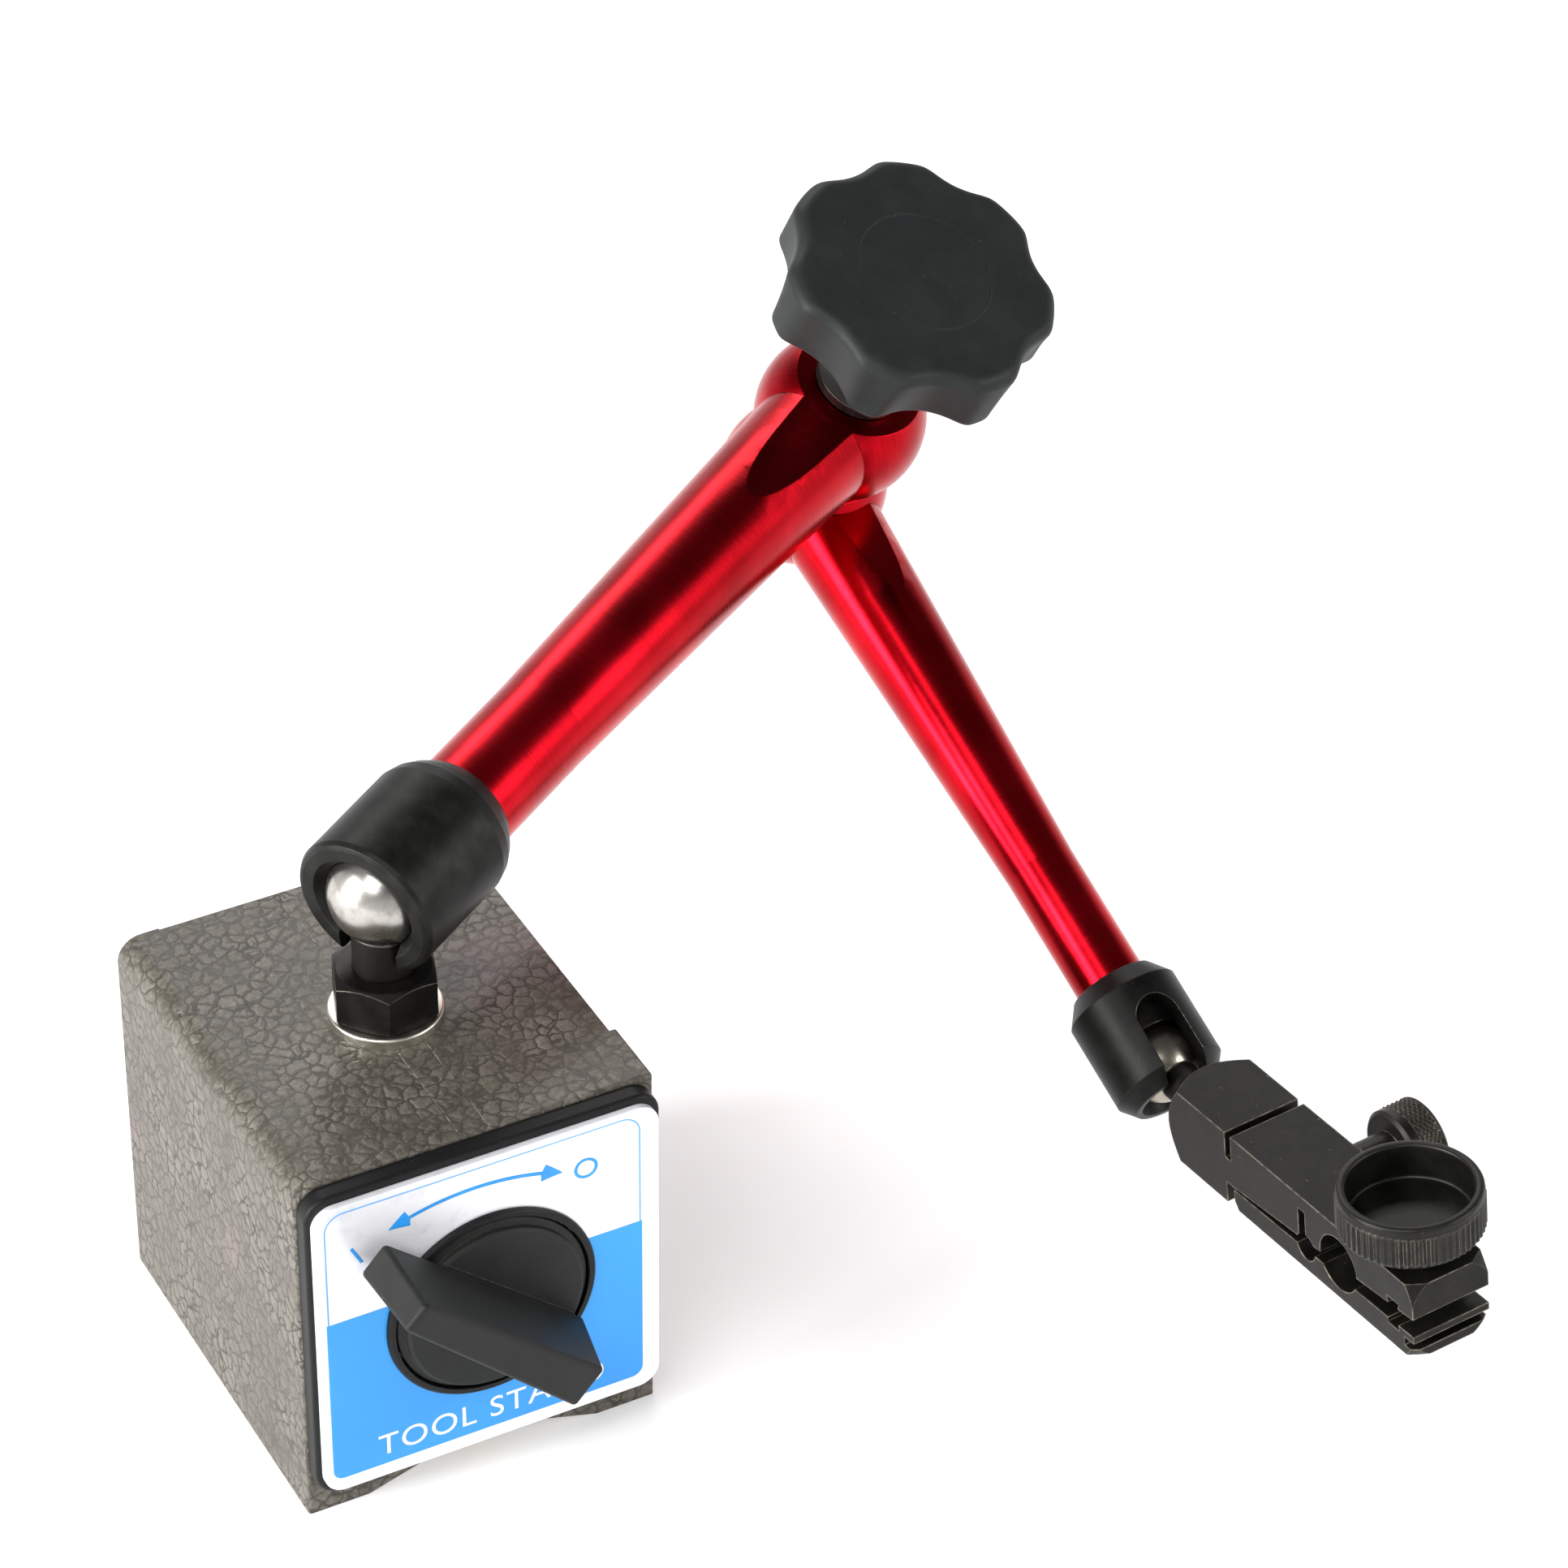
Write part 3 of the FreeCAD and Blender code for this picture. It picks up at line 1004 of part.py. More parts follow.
def clamp_knob():
    """The cup-shaped knurled knob, about Z through the clamp screw."""
    top = HOLDER_HEIGHT / 2
    rim = top + CUP_RIM_RISE
    bottom = top + CUP_BOTTOM_RISE
    outer = turned_z([(top + STUD_CLEARANCE, CUP_COLLAR_RADIUS), (bottom, CUP_COLLAR_RADIUS + 0.6),
                      (bottom, CUP_RADIUS - 1.9), (bottom + 1.5, CUP_RADIUS - 0.2), (bottom + 1.8, CUP_RADIUS),
                      (rim - 0.4, CUP_RADIUS), (rim, CUP_RADIUS - 0.4)])
    knurl_low = bottom + 1.5
    knurl_high = rim - 1.1
    band = toothed_ring(CUP_RADIUS, CUP_TOOTH_DEPTH, CUP_TEETH, knurl_low, knurl_high)
    sleeve = cylinder(CUP_RADIUS + 1, (0, 0, knurl_low), (0, 0, knurl_high))
    sleeve = sleeve.cut(cylinder(CUP_RADIUS - 1, (0, 0, knurl_low - 1), (0, 0, knurl_high + 1)))
    body = outer.cut(sleeve.cut(band))
    body = body.cut(cylinder(CUP_INNER_RADIUS, (0, 0, rim - CUP_DEPTH), (0, 0, rim + 1)))
    body = body.cut(cylinder(CLAMP_SCREW_RADIUS, (0, 0, 0), (0, 0, rim - CUP_DEPTH - CUP_FLOOR)))
    return body.translated(Vector(along_holder(CLAMP_SCREW_PLACE), 0, 0))


def clamp_screw():
    """The screw from the cup's floor down into the lower jaw."""
    x = along_holder(CLAMP_SCREW_PLACE)
    top = HOLDER_HEIGHT / 2 + CUP_RIM_RISE - CUP_DEPTH - CUP_FLOOR
    screw = cylinder(CLAMP_SCREW_RADIUS, (x, 0, 0.2 - HOLDER_HEIGHT / 2), (x, 0, top))
    return screw.makeChamfer(0.4, edges_at_level(screw, 0.2 - HOLDER_HEIGHT / 2))


def fine_pieces():
    """The fine-adjustment screw and its knurled knob, across the holder."""
    x = along_holder(FINE_SCREW_PLACE)
    z = below_top(FINE_SCREW_LEVEL)
    side = HOLDER_WIDTH / 2
    band_start = side + FINE_KNOB_START
    band_end = band_start + FINE_KNOB_LENGTH
    screw = cylinder(FINE_SCREW_RADIUS, (x, side - FINE_SCREW_DEPTH, z), (x, band_end - 1.5, z))
    knob = turned([(side + STUD_CLEARANCE, FINE_NECK_RADIUS),
                   (band_start, FINE_NECK_RADIUS), (band_start, FINE_KNOB_RADIUS - 0.5),
                   (band_start + 0.5, FINE_KNOB_RADIUS),
                   (band_end - 0.5, FINE_KNOB_RADIUS), (band_end, FINE_KNOB_RADIUS - 0.5)])
    knob = knob.rotated(Vector(0, 0, 0), Vector(0, 0, 1), 90).translated(Vector(x, 0, z))
    return {"fine_screw": screw, "fine_knob": knob.cut(screw)}


def holder_pieces():
    """Ball pin, holder, jaw, clamp screw with its knob, and fine adjustment."""
    pieces = {
        "ball_pin": ball_pin(),
        "holder_body": holder_body(),
        "lower_jaw": lower_jaw(),
        "clamp_screw": clamp_screw(),
        "clamp_knob": clamp_knob(),
    }
    pieces.update(fine_pieces())
    return pieces


# ---------------------------------------------------------------- the whole part
def all_pieces():
    """Every piece by name, in the part's own frame."""
    pieces = {}
    pieces.update(base_pieces())
    pieces.update(switch_pieces())
    pieces["ball_stud"] = ball_stud()
    lower = lower_arm_frame()
    upper = upper_arm_frame()
    head = holder_frame()
    elbow = lower.multiply(FreeCAD.Placement(Vector(LOWER_ARM_LENGTH, 0, 0), FreeCAD.Rotation()))
    groups = ((lower, lower_arm_pieces()), (elbow, elbow_pieces()), (upper, upper_arm_pieces()),
              (head, holder_pieces()))
    for place, group in groups:
        for name, shape in group.items():
            pieces[name] = moved(shape, place)
    return pieces


def main():
    """Writes one STEP file per piece."""
    os.makedirs("parts", exist_ok=True)
    for name, shape in all_pieces().items():
        shape.exportStep("parts/" + name + ".step")
        print(name, len(shape.Solids), round(shape.Volume, 1), shape.isValid())


main()
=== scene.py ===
"""Articulated indicator holder on a switchable magnetic base: finishes, fine surfaces and studio.

Every piece stands in the row frame, in metres: +Z up, the switch plate towards -Y, and the origin
on the plane of the pole faces, straight under the lower ball.
"""

from __future__ import annotations

import json
import logging
import math
from dataclasses import dataclass, field
from enum import Enum
from typing import Any, Dict, Iterable, List, Mapping, Optional, Sequence, Tuple, Union

import bmesh
import bpy
import numpy as np
from mathutils import Matrix, Vector


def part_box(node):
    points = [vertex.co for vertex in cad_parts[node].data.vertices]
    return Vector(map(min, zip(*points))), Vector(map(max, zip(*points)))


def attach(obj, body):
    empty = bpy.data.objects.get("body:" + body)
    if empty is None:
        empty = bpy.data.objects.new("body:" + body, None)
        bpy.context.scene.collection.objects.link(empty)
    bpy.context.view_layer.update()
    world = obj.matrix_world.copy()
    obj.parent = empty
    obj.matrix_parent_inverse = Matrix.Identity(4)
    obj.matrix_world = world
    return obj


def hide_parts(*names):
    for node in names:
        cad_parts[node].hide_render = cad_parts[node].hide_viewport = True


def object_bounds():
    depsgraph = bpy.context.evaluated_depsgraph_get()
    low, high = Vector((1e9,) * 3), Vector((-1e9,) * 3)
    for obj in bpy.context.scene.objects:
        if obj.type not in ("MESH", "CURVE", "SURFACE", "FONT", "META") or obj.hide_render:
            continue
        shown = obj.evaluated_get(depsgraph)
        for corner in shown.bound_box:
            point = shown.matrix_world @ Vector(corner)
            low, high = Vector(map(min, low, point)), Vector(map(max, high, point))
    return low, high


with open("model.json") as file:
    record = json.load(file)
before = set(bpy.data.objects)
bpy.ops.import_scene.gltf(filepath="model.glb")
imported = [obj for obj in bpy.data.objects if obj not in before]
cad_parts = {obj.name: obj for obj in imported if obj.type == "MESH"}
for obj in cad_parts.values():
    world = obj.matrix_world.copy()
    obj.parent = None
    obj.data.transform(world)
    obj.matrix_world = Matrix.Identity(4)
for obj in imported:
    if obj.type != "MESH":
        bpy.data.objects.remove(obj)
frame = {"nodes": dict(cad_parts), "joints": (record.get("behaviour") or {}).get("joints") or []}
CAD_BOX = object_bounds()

LOG = logging.getLogger("indicator_stand")
MM = 0.001
HUB_STEP = 15.8 * MM  # from the lower hub's centre to the upper hub's, along the elbow
LOWER_BALL_RADIUS = 7.0 * MM
UPPER_BALL_RADIUS = 5.25 * MM
BEVEL_SAMPLES = 6
MERGE_DISTANCE = 1e-7
FLOOR_GAP = 0.05 * MM
Colour = Tuple[float, float, float]
Outline = Tuple[Tuple[float, float], ...]
WHITE: Colour = (1.0, 1.0, 1.0)
RED_DYE: Colour = (0.62, 0.006, 0.016)
ENAMEL: Colour = (0.066, 0.058, 0.045)


# ---------------------------------------------------------------------- shader maths
class Value:
    """One output socket of a node tree, with arithmetic that adds Math nodes."""

    def __init__(self, sheet: "NodeSheet", socket: bpy.types.NodeSocket) -> None:
        """Wraps a socket.

        Args:
            sheet: the node sheet that the socket belongs to.
            socket: the output socket.
        """
        self.sheet = sheet
        self.socket = socket

    def maths(self, operation: str, *operands: "Number") -> "Value":
        """A Math node.

        Args:
            operation: the Math node's operation.
            operands: its inputs in order.

        Returns:
            The node's result.
        """
        inputs = dict(enumerate(operands))
        return self.sheet.node("ShaderNodeMath", {"operation": operation}, inputs)

    def __add__(self, other: "Number") -> "Value":
        """Sum."""
        return self.maths("ADD", self, other)

    __radd__ = __add__

    def __sub__(self, other: "Number") -> "Value":
        """Difference."""
        return self.maths("SUBTRACT", self, other)

    def __rsub__(self, other: "Number") -> "Value":
        """Reflected difference."""
        return self.maths("SUBTRACT", other, self)

    def __mul__(self, other: "Number") -> "Value":
        """Product."""
        return self.maths("MULTIPLY", self, other)

    __rmul__ = __mul__

    def __pow__(self, other: "Number") -> "Value":
        """Power."""
        return self.maths("POWER", self, other)

    def __abs__(self) -> "Value":
        """Size without sign."""
        return self.maths("ABSOLUTE", self)

    def larger(self, other: "Number") -> "Value":
        """The larger of two values."""
        return self.maths("MAXIMUM", self, other)

    def ramp(self, low: float, high: float) -> "Value":
        """Smooth rise from 0 to 1.

        Args:
            low: the value at which the result leaves 0.
            high: the value at which it reaches 1; it may be below low, for a fall.

        Returns:
            The smoothed value, within 0 and 1.
        """
        if high < low:
            return 1.0 - self.ramp(high, low)
        return self.sheet.node("ShaderNodeMapRange", {"interpolation_type": "SMOOTHSTEP"},
                               {"Value": self, "From Min": low, "From Max": high})


Number = Union[Value, float, int]


class NodeSheet:
    """The node tree of a material or a world, written to through a few methods."""

    def __init__(self, owner: Union[bpy.types.Material, bpy.types.World], shader: str) -> None:
        """Turns the owner's nodes on.

        Args:
            owner: the material or world to dress.
            shader: the name of the shader node that feed writes to.
        """
        owner.use_nodes = True
        self.tree = owner.node_tree
        self.shader = self.tree.nodes[shader]

    def node(self, kind: str, settings: Mapping[str, Any], inputs: Mapping[Union[str, int], Any],
             output: Union[str, int] = 0) -> Value:
        """Adds one node.

        Args:
            kind: the node's type.
            settings: attributes that are set first; "stops" gives a ramp's (place, colour) pairs.
            inputs: values or links by socket name or number.
            output: the output wanted.

        Returns:
            The output, wrapped.
        """
        node = self.tree.nodes.new(kind)
        for name, setting in settings.items():
            if name == "stops":
                while len(node.color_ramp.elements) < len(setting):
                    node.color_ramp.elements.new(1.0)
                for element, (place, colour) in zip(node.color_ramp.elements, setting):
                    element.position = place
                    element.color = (*colour, 1.0)
            else:
                setattr(node, name, setting)
        for key, given in inputs.items():
            if isinstance(given, Value):
                self.tree.links.new(given.socket, node.inputs[key])
            else:
                node.inputs[key].default_value = given
        return Value(self, node.outputs[output])

    def feed(self, socket: str, given: Any) -> None:
        """Sets or links one socket of the shader.

        Args:
            socket: the socket's name.
            given: a value, or an output to link.
        """
        if isinstance(given, Value):
            self.tree.links.new(given.socket, self.shader.inputs[socket])
        elif isinstance(given, tuple):
            self.shader.inputs[socket].default_value = (*given, 1.0)
        else:
            self.shader.inputs[socket].default_value = given

    def place(self) -> Value:
        """The point on the object, in metres."""
        return self.node("ShaderNodeTexCoord", {}, {}, "Object")

    def facing(self) -> Value:
        """The surface's own normal, in the object's frame."""
        return self.node("ShaderNodeTexCoord", {}, {}, "Normal")

    def local(self, axes: "Axes") -> Value:
        """The point on the object in a sub-assembly's own frame.

        Args:
            axes: the frame.

        Returns:
            The point, in metres.
        """
        return self.node("ShaderNodeMapping", {"vector_type": "TEXTURE"},
                         {"Vector": self.place(), "Location": tuple(axes.origin),
                          "Rotation": tuple(axes.matrix().to_euler())})

    def split(self, vector: Value) -> Tuple[Value, Value, Value]:
        """A vector's three numbers."""
        node = self.tree.nodes.new("ShaderNodeSeparateXYZ")
        self.tree.links.new(vector.socket, node.inputs[0])
        return tuple(Value(self, socket) for socket in node.outputs)

    def stretched(self, vector: Value, scale: Tuple[float, float, float]) -> Value:
        """A vector multiplied number by number."""
        return self.node("ShaderNodeVectorMath", {"operation": "MULTIPLY"}, {0: vector, 1: scale})

    def noise(self, vector: Value, size: float, detail: float = 3.0,
              roughness: float = 0.55) -> Value:
        """Soft noise.

        Args:
            vector: where it is read.
            size: the size of its largest patches, in the vector's own unit.
            detail: how many finer layers it has.
            roughness: how strong those are.

        Returns:
            A value about 0.5.
        """
        return self.node("ShaderNodeTexNoise", {},
                         {"Vector": vector, "Scale": 1.0 / size, "Detail": detail,
                          "Roughness": roughness})

    def mix(self, share: Number, first: Any, second: Any) -> Value:
        """A colour between two colours.

        Args:
            share: 0 for the first, 1 for the second.
            first: a colour or an output.
            second: a colour or an output.

        Returns:
            The mixed colour.
        """
        pair = [c if isinstance(c, Value) else (*c, 1.0) for c in (first, second)]
        inputs = {0: share, 6: pair[0], 7: pair[1]}
        return self.node("ShaderNodeMix", {"data_type": "RGBA"}, inputs, 2)

    def worn_edge(self, radius: float, sharp: float = 0.35) -> Value:
        """A mask of the surface's edges.

        Args:
            radius: how far the mask reaches from an edge, in metres.
            sharp: how much the rounded normal has to turn for a full mask.

        Returns:
            1 on an edge, 0 away from it.
        """
        rounded = self.node("ShaderNodeBevel", {"samples": BEVEL_SAMPLES}, {"Radius": radius})
        true = self.node("ShaderNodeNewGeometry", {}, {}, "True Normal")
        close = self.node("ShaderNodeVectorMath", {"operation": "DOT_PRODUCT"},
                          {0: rounded, 1: true}, "Value")
        return (1.0 - close).ramp(0.01, sharp)

    def relief(self, height: Value, depth: float, rounding: float = 0.0) -> None:
        """Bump on the normal, over softly rounded edges.

        Args:
            height: the height, as a share of depth.
            depth: the relief's depth, in metres.
            rounding: the radius that sharp edges are shaded with, in metres.
        """
        inputs = {"Strength": 1.0, "Distance": depth, "Height": height}
        if rounding > 0:
            inputs["Normal"] = self.node("ShaderNodeBevel", {"samples": BEVEL_SAMPLES},
                                         {"Radius": rounding})
        self.feed("Normal", self.node("ShaderNodeBump", {}, inputs))


# ---------------------------------------------------------------------- frames
@dataclass(frozen=True)
class Axes:
    """A right-handed frame: an origin and two of its axes, in the row frame."""

    origin: Vector
    x: Vector
    z: Vector

    def matrix(self) -> Matrix:
        """The rotation whose columns are the frame's axes."""
        return Matrix((self.x, self.z.cross(self.x), self.z)).transposed()

    def lay(self, points: np.ndarray) -> np.ndarray:
        """Points from this frame to the row frame.

        Args:
            points: an array whose last axis is x, y, z in metres.

        Returns:
            The same array in the row frame: origin plus the axes times the numbers.
        """
        return points @ np.array(self.matrix()).T + np.array(self.origin)


@dataclass(frozen=True)
class Joints:
    """The record's joints by name, and the frames that follow from them."""

    by_name: Dict[str, Dict[str, Any]]

    def point(self, name: str) -> Vector:
        """A joint's place."""
        return Vector(self.by_name[name]["pos_m"])

    def axis(self, name: str) -> Vector:
        """A joint's axis."""
        return Vector(self.by_name[name]["axis"]).normalized()

    def lower_arm(self) -> Axes:
        """Origin at the lower ball, X along the lower arm, Z along the elbow."""
        start = self.point("arm_tilt")
        return Axes(start, (self.point("elbow") - start).normalized(), self.axis("elbow"))

    def upper_arm(self) -> Axes:
        """Origin at the upper ball, X back along the upper arm, Z along the elbow."""
        start = self.point("wrist_tilt")
        hub = self.point("elbow") - HUB_STEP * self.axis("elbow")
        return Axes(start, (hub - start).normalized(), self.axis("elbow"))

    def elbow(self) -> Axes:
        """Origin at the lower hub's centre, Z along the clamping knob."""
        return Axes(self.point("elbow"), self.lower_arm().x, self.axis("elbow"))

    def holder(self) -> Axes:
        """Origin at the upper ball, X along the holder, Z out of its top."""
        return Axes(self.point("wrist_tilt"), self.axis("holder_twist"), -self.axis("clamp_turn"))

    def clamp(self) -> Axes:
        """Origin on the clamp screw at the holder's middle height, X up the screw."""
        up = -self.axis("clamp_turn")
        return Axes(self.point("clamp_turn"), up, self.axis("holder_twist"))

    def fine(self) -> Axes:
        """Origin on the fine screw, X out of the holder's side."""
        out = self.axis("fine_turn")
        return Axes(self.point("fine_turn"), out, -self.axis("clamp_turn"))


# ---------------------------------------------------------------------- finishes
@dataclass(frozen=True, eq=False)
class Finish:
    """A finish: base colour, roughness, metal share and coat, with its own pattern in dress."""

    name: str
    colour: Colour
    roughness: float
    metallic: float = 0.0
    coat: float = 0.0
    specular: float = 0.5
    glow: float = 0.0
    coat_roughness: float = 0.12
    grain: float = 0.4 * MM
    depth: float = 0.01 * MM
    rounding: float = 0.25 * MM

    def material(self) -> bpy.types.Material:
        """Builds the material."""
        made = bpy.data.materials.new(self.name)
        sheet = NodeSheet(made, "Principled BSDF")
        sheet.feed("Base Color", self.colour)
        sheet.feed("Roughness", self.roughness)
        sheet.feed("Metallic", self.metallic)
        sheet.feed("Coat Weight", self.coat)
        sheet.feed("Specular IOR Level", self.specular)
        sheet.feed("Emission Color", WHITE)
        sheet.feed("Emission Strength", self.glow)
        sheet.feed("Coat Roughness", self.coat_roughness)
        self.dress(sheet)
        return made

    def dress(self, sheet: NodeSheet) -> None:
        """Adds the finish's pattern to a node sheet."""
        sheet.relief(sheet.noise(sheet.place(), self.grain), self.depth, self.rounding)


@dataclass(frozen=True, eq=False)
class HammeredPaint(Finish):
    """Hammer enamel: flat cells between dark cracks, on a steel block with bare feet."""

    cell: float = 2.1 * MM
    warp: float = 1.6 * MM
    patch: float = 9 * MM
    grain: float = 0.7 * MM
    # size of the reddish patches, which are partly a rust tint and partly a painted reddish sheen
    rust_and_sheen_patch: float = 22 * MM
    chip: float = 1.5 * MM
    reach: float = 0.35 * MM
    depth: float = 0.16 * MM
    rounding: float = 0.3 * MM
    crack: Colour = (0.016, 0.014, 0.012)
    pale: Colour = (0.165, 0.150, 0.122)
    # reddish colour, partly a rust tint and partly a painted reddish sheen
    rust_and_sheen_tint: Colour = (0.20, 0.13, 0.14)
    bare: Colour = (0.42, 0.39, 0.34)
    underside: Colour = (0.46, 0.44, 0.41)

    def dress(self, sheet: NodeSheet) -> None:
        """Cells from distance to the edges of a warped Voronoi pattern, worn at the edges."""
        place = sheet.place()
        warp = sheet.node("ShaderNodeTexNoise", {},
                          {"Vector": place, "Scale": 1.0 / self.warp, "Detail": 2.0}, "Color")
        shift = sheet.node("ShaderNodeVectorMath", {"operation": "MULTIPLY_ADD"},
                           {0: warp, 1: (self.cell * 0.75,) * 3, 2: place})
        patch = sheet.noise(place, self.patch, 2.0)
        edge = sheet.node("ShaderNodeTexVoronoi", {"feature": "DISTANCE_TO_EDGE"},
                          {"Vector": shift, "Scale": 1.0 / self.cell}, "Distance")
        fine = sheet.noise(place, self.grain, 4.0)
        depth = (fine * 0.35 + patch * 0.9).ramp(0.45, 0.85)
        open_crack = (1.0 - edge.ramp(0.0, 0.13)) * (0.35 + 0.65 * depth)
        body = sheet.mix((fine * 0.6 + patch * 0.5).ramp(0.35, 0.8), self.colour, self.pale)
        # reddish patches at random places: partly a rust tint, partly a painted reddish sheen
        rust_and_sheen_patch = sheet.noise(place, self.rust_and_sheen_patch, 1.0).ramp(0.56, 0.7)
        body = sheet.mix(rust_and_sheen_patch * 0.35, body, self.rust_and_sheen_tint)
        body = sheet.mix(open_crack * 0.85, body, self.crack)
        worn = sheet.worn_edge(self.reach) * sheet.noise(place, self.chip).ramp(0.40, 0.62)
        body = sheet.mix(worn, body, self.bare)
        down = sheet.split(sheet.facing())[2].ramp(-0.5, -0.9)
        sheet.feed("Base Color", sheet.mix(down, body, self.underside))
        sheet.feed("Metallic", (worn * 0.8).larger(down) * 0.9 + 0.1)
        sheet.feed("Roughness", self.roughness + 0.25 * open_crack + 0.12 * fine)
        sheet.feed("Coat Weight", (1.0 - worn) * (1.0 - down) * 0.1)
        height = edge.ramp(0.0, 0.32) * (0.5 + 0.5 * depth) + fine * 0.35
        sheet.relief(height * (1.0 - down), self.depth, self.rounding)


@dataclass(frozen=True, eq=False)
class DividerMetal(HammeredPaint):
    """The same enamel over brass, with the brass bare in the groove underneath."""

    underside: Colour = (0.62, 0.44, 0.20)


@dataclass(frozen=True, eq=False)
class Anodised(Finish):
    """Polished dyed aluminium with faint turning lines along one axis."""

    axes: Optional[Axes] = None
    deep: Colour = (0.30, 0.002, 0.006)
    line: float = 0.12 * MM
    cloud: float = 14 * MM
    speck: float = 0.9 * MM
    depth: float = 0.002 * MM

    def dress(self, sheet: NodeSheet) -> None:
        """Turning lines as noise drawn out round the axis, and cloudy depth in the dye."""
        local = sheet.local(self.axes)
        lines = sheet.noise(sheet.stretched(local, (1.0, 0.02, 0.02)), self.line, 2.0)
        cloud = sheet.noise(local, self.cloud, 2.0)
        specks = sheet.noise(local, self.speck, 2.0).ramp(0.70, 0.78)
        dye = (cloud * 0.5 + lines * 0.25).ramp(0.2, 0.6)
        sheet.feed("Base Color", sheet.mix(dye, self.deep, self.colour))
        sheet.feed("Roughness", self.roughness + 0.05 * lines + 0.05 * cloud + 0.06 * specks)
        sheet.relief(lines, self.depth, self.rounding)


@dataclass(frozen=True, eq=False)
class BlackOxide(Finish):
    """Blackened steel: brown-black, cloudy, with the steel showing through at its edges."""

    bare: Colour = (0.30, 0.26, 0.20)
    wear: float = 0.8
    reach: float = 0.3 * MM
    cloud: float = 3.5 * MM
    line: float = 0.14 * MM
    grain: float = 0.35 * MM
    chip: float = 1.4 * MM
    scuff: float = 0.5 * MM
    depth: float = 0.012 * MM
    lay: Optional[Axes] = None

    def dress(self, sheet: NodeSheet) -> None:
        """Tool lines along the lay, cloudy oxide and worn edges."""
        local = sheet.local(self.lay) if self.lay else sheet.place()
        cloud = sheet.noise(local, self.cloud, 4.0)
        lines = sheet.noise(sheet.stretched(local, (1.0, 0.08, 0.08)), self.line, 3.0)
        fine = sheet.noise(local, self.grain, 3.0)
        chips = sheet.noise(local, self.chip).ramp(0.38, 0.6)
        edge = sheet.worn_edge(self.reach) * (0.35 + 0.65 * chips)
        body = sheet.mix(cloud.ramp(0.35, 0.7), self.colour, tuple(1.9 * c for c in self.colour))
        scuff = sheet.noise(sheet.stretched(local, (0.5, 1.0, 1.0)), self.scuff, 5.0)
        body = sheet.mix(scuff.ramp(0.68, 0.78) * 0.35 * self.wear, body, self.bare)
        body = sheet.mix(edge * self.wear, body, self.bare)
        sheet.feed("Base Color", body)
        sheet.feed("Roughness", self.roughness + 0.14 * cloud + 0.1 * fine - 0.1 * edge)
        sheet.relief(lines * 0.6 + fine * 0.4, self.depth, self.rounding)


@dataclass(frozen=True, eq=False)
class TurnedMetal(Finish):
    """Plain metal with fine tool lines across a lay."""

    lay: Optional[Axes] = None
    line: float = 0.1 * MM
    cloud: float = 2.5 * MM
    depth: float = 0.006 * MM

    def dress(self, sheet: NodeSheet) -> None:
        """Lines as stretched noise, with faint cloudy tarnish."""
        local = sheet.local(self.lay) if self.lay else sheet.place()
        lines = sheet.noise(sheet.stretched(local, (1.0, 0.05, 0.05)), self.line, 2.0)
        cloud = sheet.noise(local, self.cloud, 3.0)
        dark = tuple(0.72 * c for c in self.colour)
        sheet.feed("Base Color", sheet.mix(cloud.ramp(0.35, 0.7), dark, self.colour))
        sheet.feed("Roughness", self.roughness + 0.1 * cloud + 0.06 * lines)
        sheet.relief(lines, self.depth, self.rounding)


@dataclass(frozen=True, eq=False)
class BallAndNeck(Finish):
    """A polished ball on a blackened neck: the change lies at a distance from the ball's centre."""

    centre: Vector = field(default_factory=Vector)
    ball: float = LOWER_BALL_RADIUS
    neck: Colour = (0.028, 0.026, 0.024)
    cloud: float = 1.8 * MM
    depth: float = 0.006 * MM

    def dress(self, sheet: NodeSheet) -> None:
        """Ball colour inside the ball's radius, oxide beyond it."""
        place = sheet.place()
        far = sheet.node("ShaderNodeVectorMath", {"operation": "DISTANCE"},
                         {0: place, 1: tuple(self.centre)}, "Value")
        cloud = sheet.noise(place, self.cloud, 4.0)
        on_neck = far.ramp(self.ball + 0.05 * MM, self.ball + 0.35 * MM)
        dull = tuple(0.7 * c for c in self.colour)
        smear = sheet.mix(cloud.ramp(0.45, 0.75), self.colour, dull)
        sheet.feed("Base Color", sheet.mix(on_neck, smear, self.neck))
        sheet.feed("Roughness", self.roughness + 0.12 * cloud + 0.25 * on_neck)
        sheet.relief(cloud, self.depth, self.rounding)


@dataclass(frozen=True, eq=False)
class Moulded(Finish):
    """Moulded plastic: fine spark-eroded grain, paler where it has been handled."""

    grain: float = 0.28 * MM
    depth: float = 0.012 * MM
    scuffed: Colour = (0.12, 0.11, 0.10)
    wear: float = 0.3
    mottle: float = 6 * MM
    reach: float = 0.4 * MM
    chip: float = 0.9 * MM
    speck: float = 0.55 * MM

    def dress(self, sheet: NodeSheet) -> None:
        """Grain bump, slow mottling and scuffed edges."""
        place = sheet.place()
        grain = sheet.noise(place, self.grain, 3.0)
        mottle = sheet.noise(place, self.mottle, 3.0)
        edge = sheet.worn_edge(self.reach) * sheet.noise(place, self.chip, 4.0).ramp(0.42, 0.62)
        pale = tuple(1.35 * c for c in self.colour)
        body = sheet.mix(mottle.ramp(0.3, 0.75), self.colour, pale)
        speck = sheet.noise(place, self.speck, 1.0).ramp(0.755, 0.79)
        scuffs = (edge * self.wear).larger(speck * 0.3)
        sheet.feed("Base Color", sheet.mix(scuffs, body, self.scuffed))
        sheet.feed("Roughness", self.roughness + 0.1 * mottle)
        sheet.relief(grain, self.depth, self.rounding)


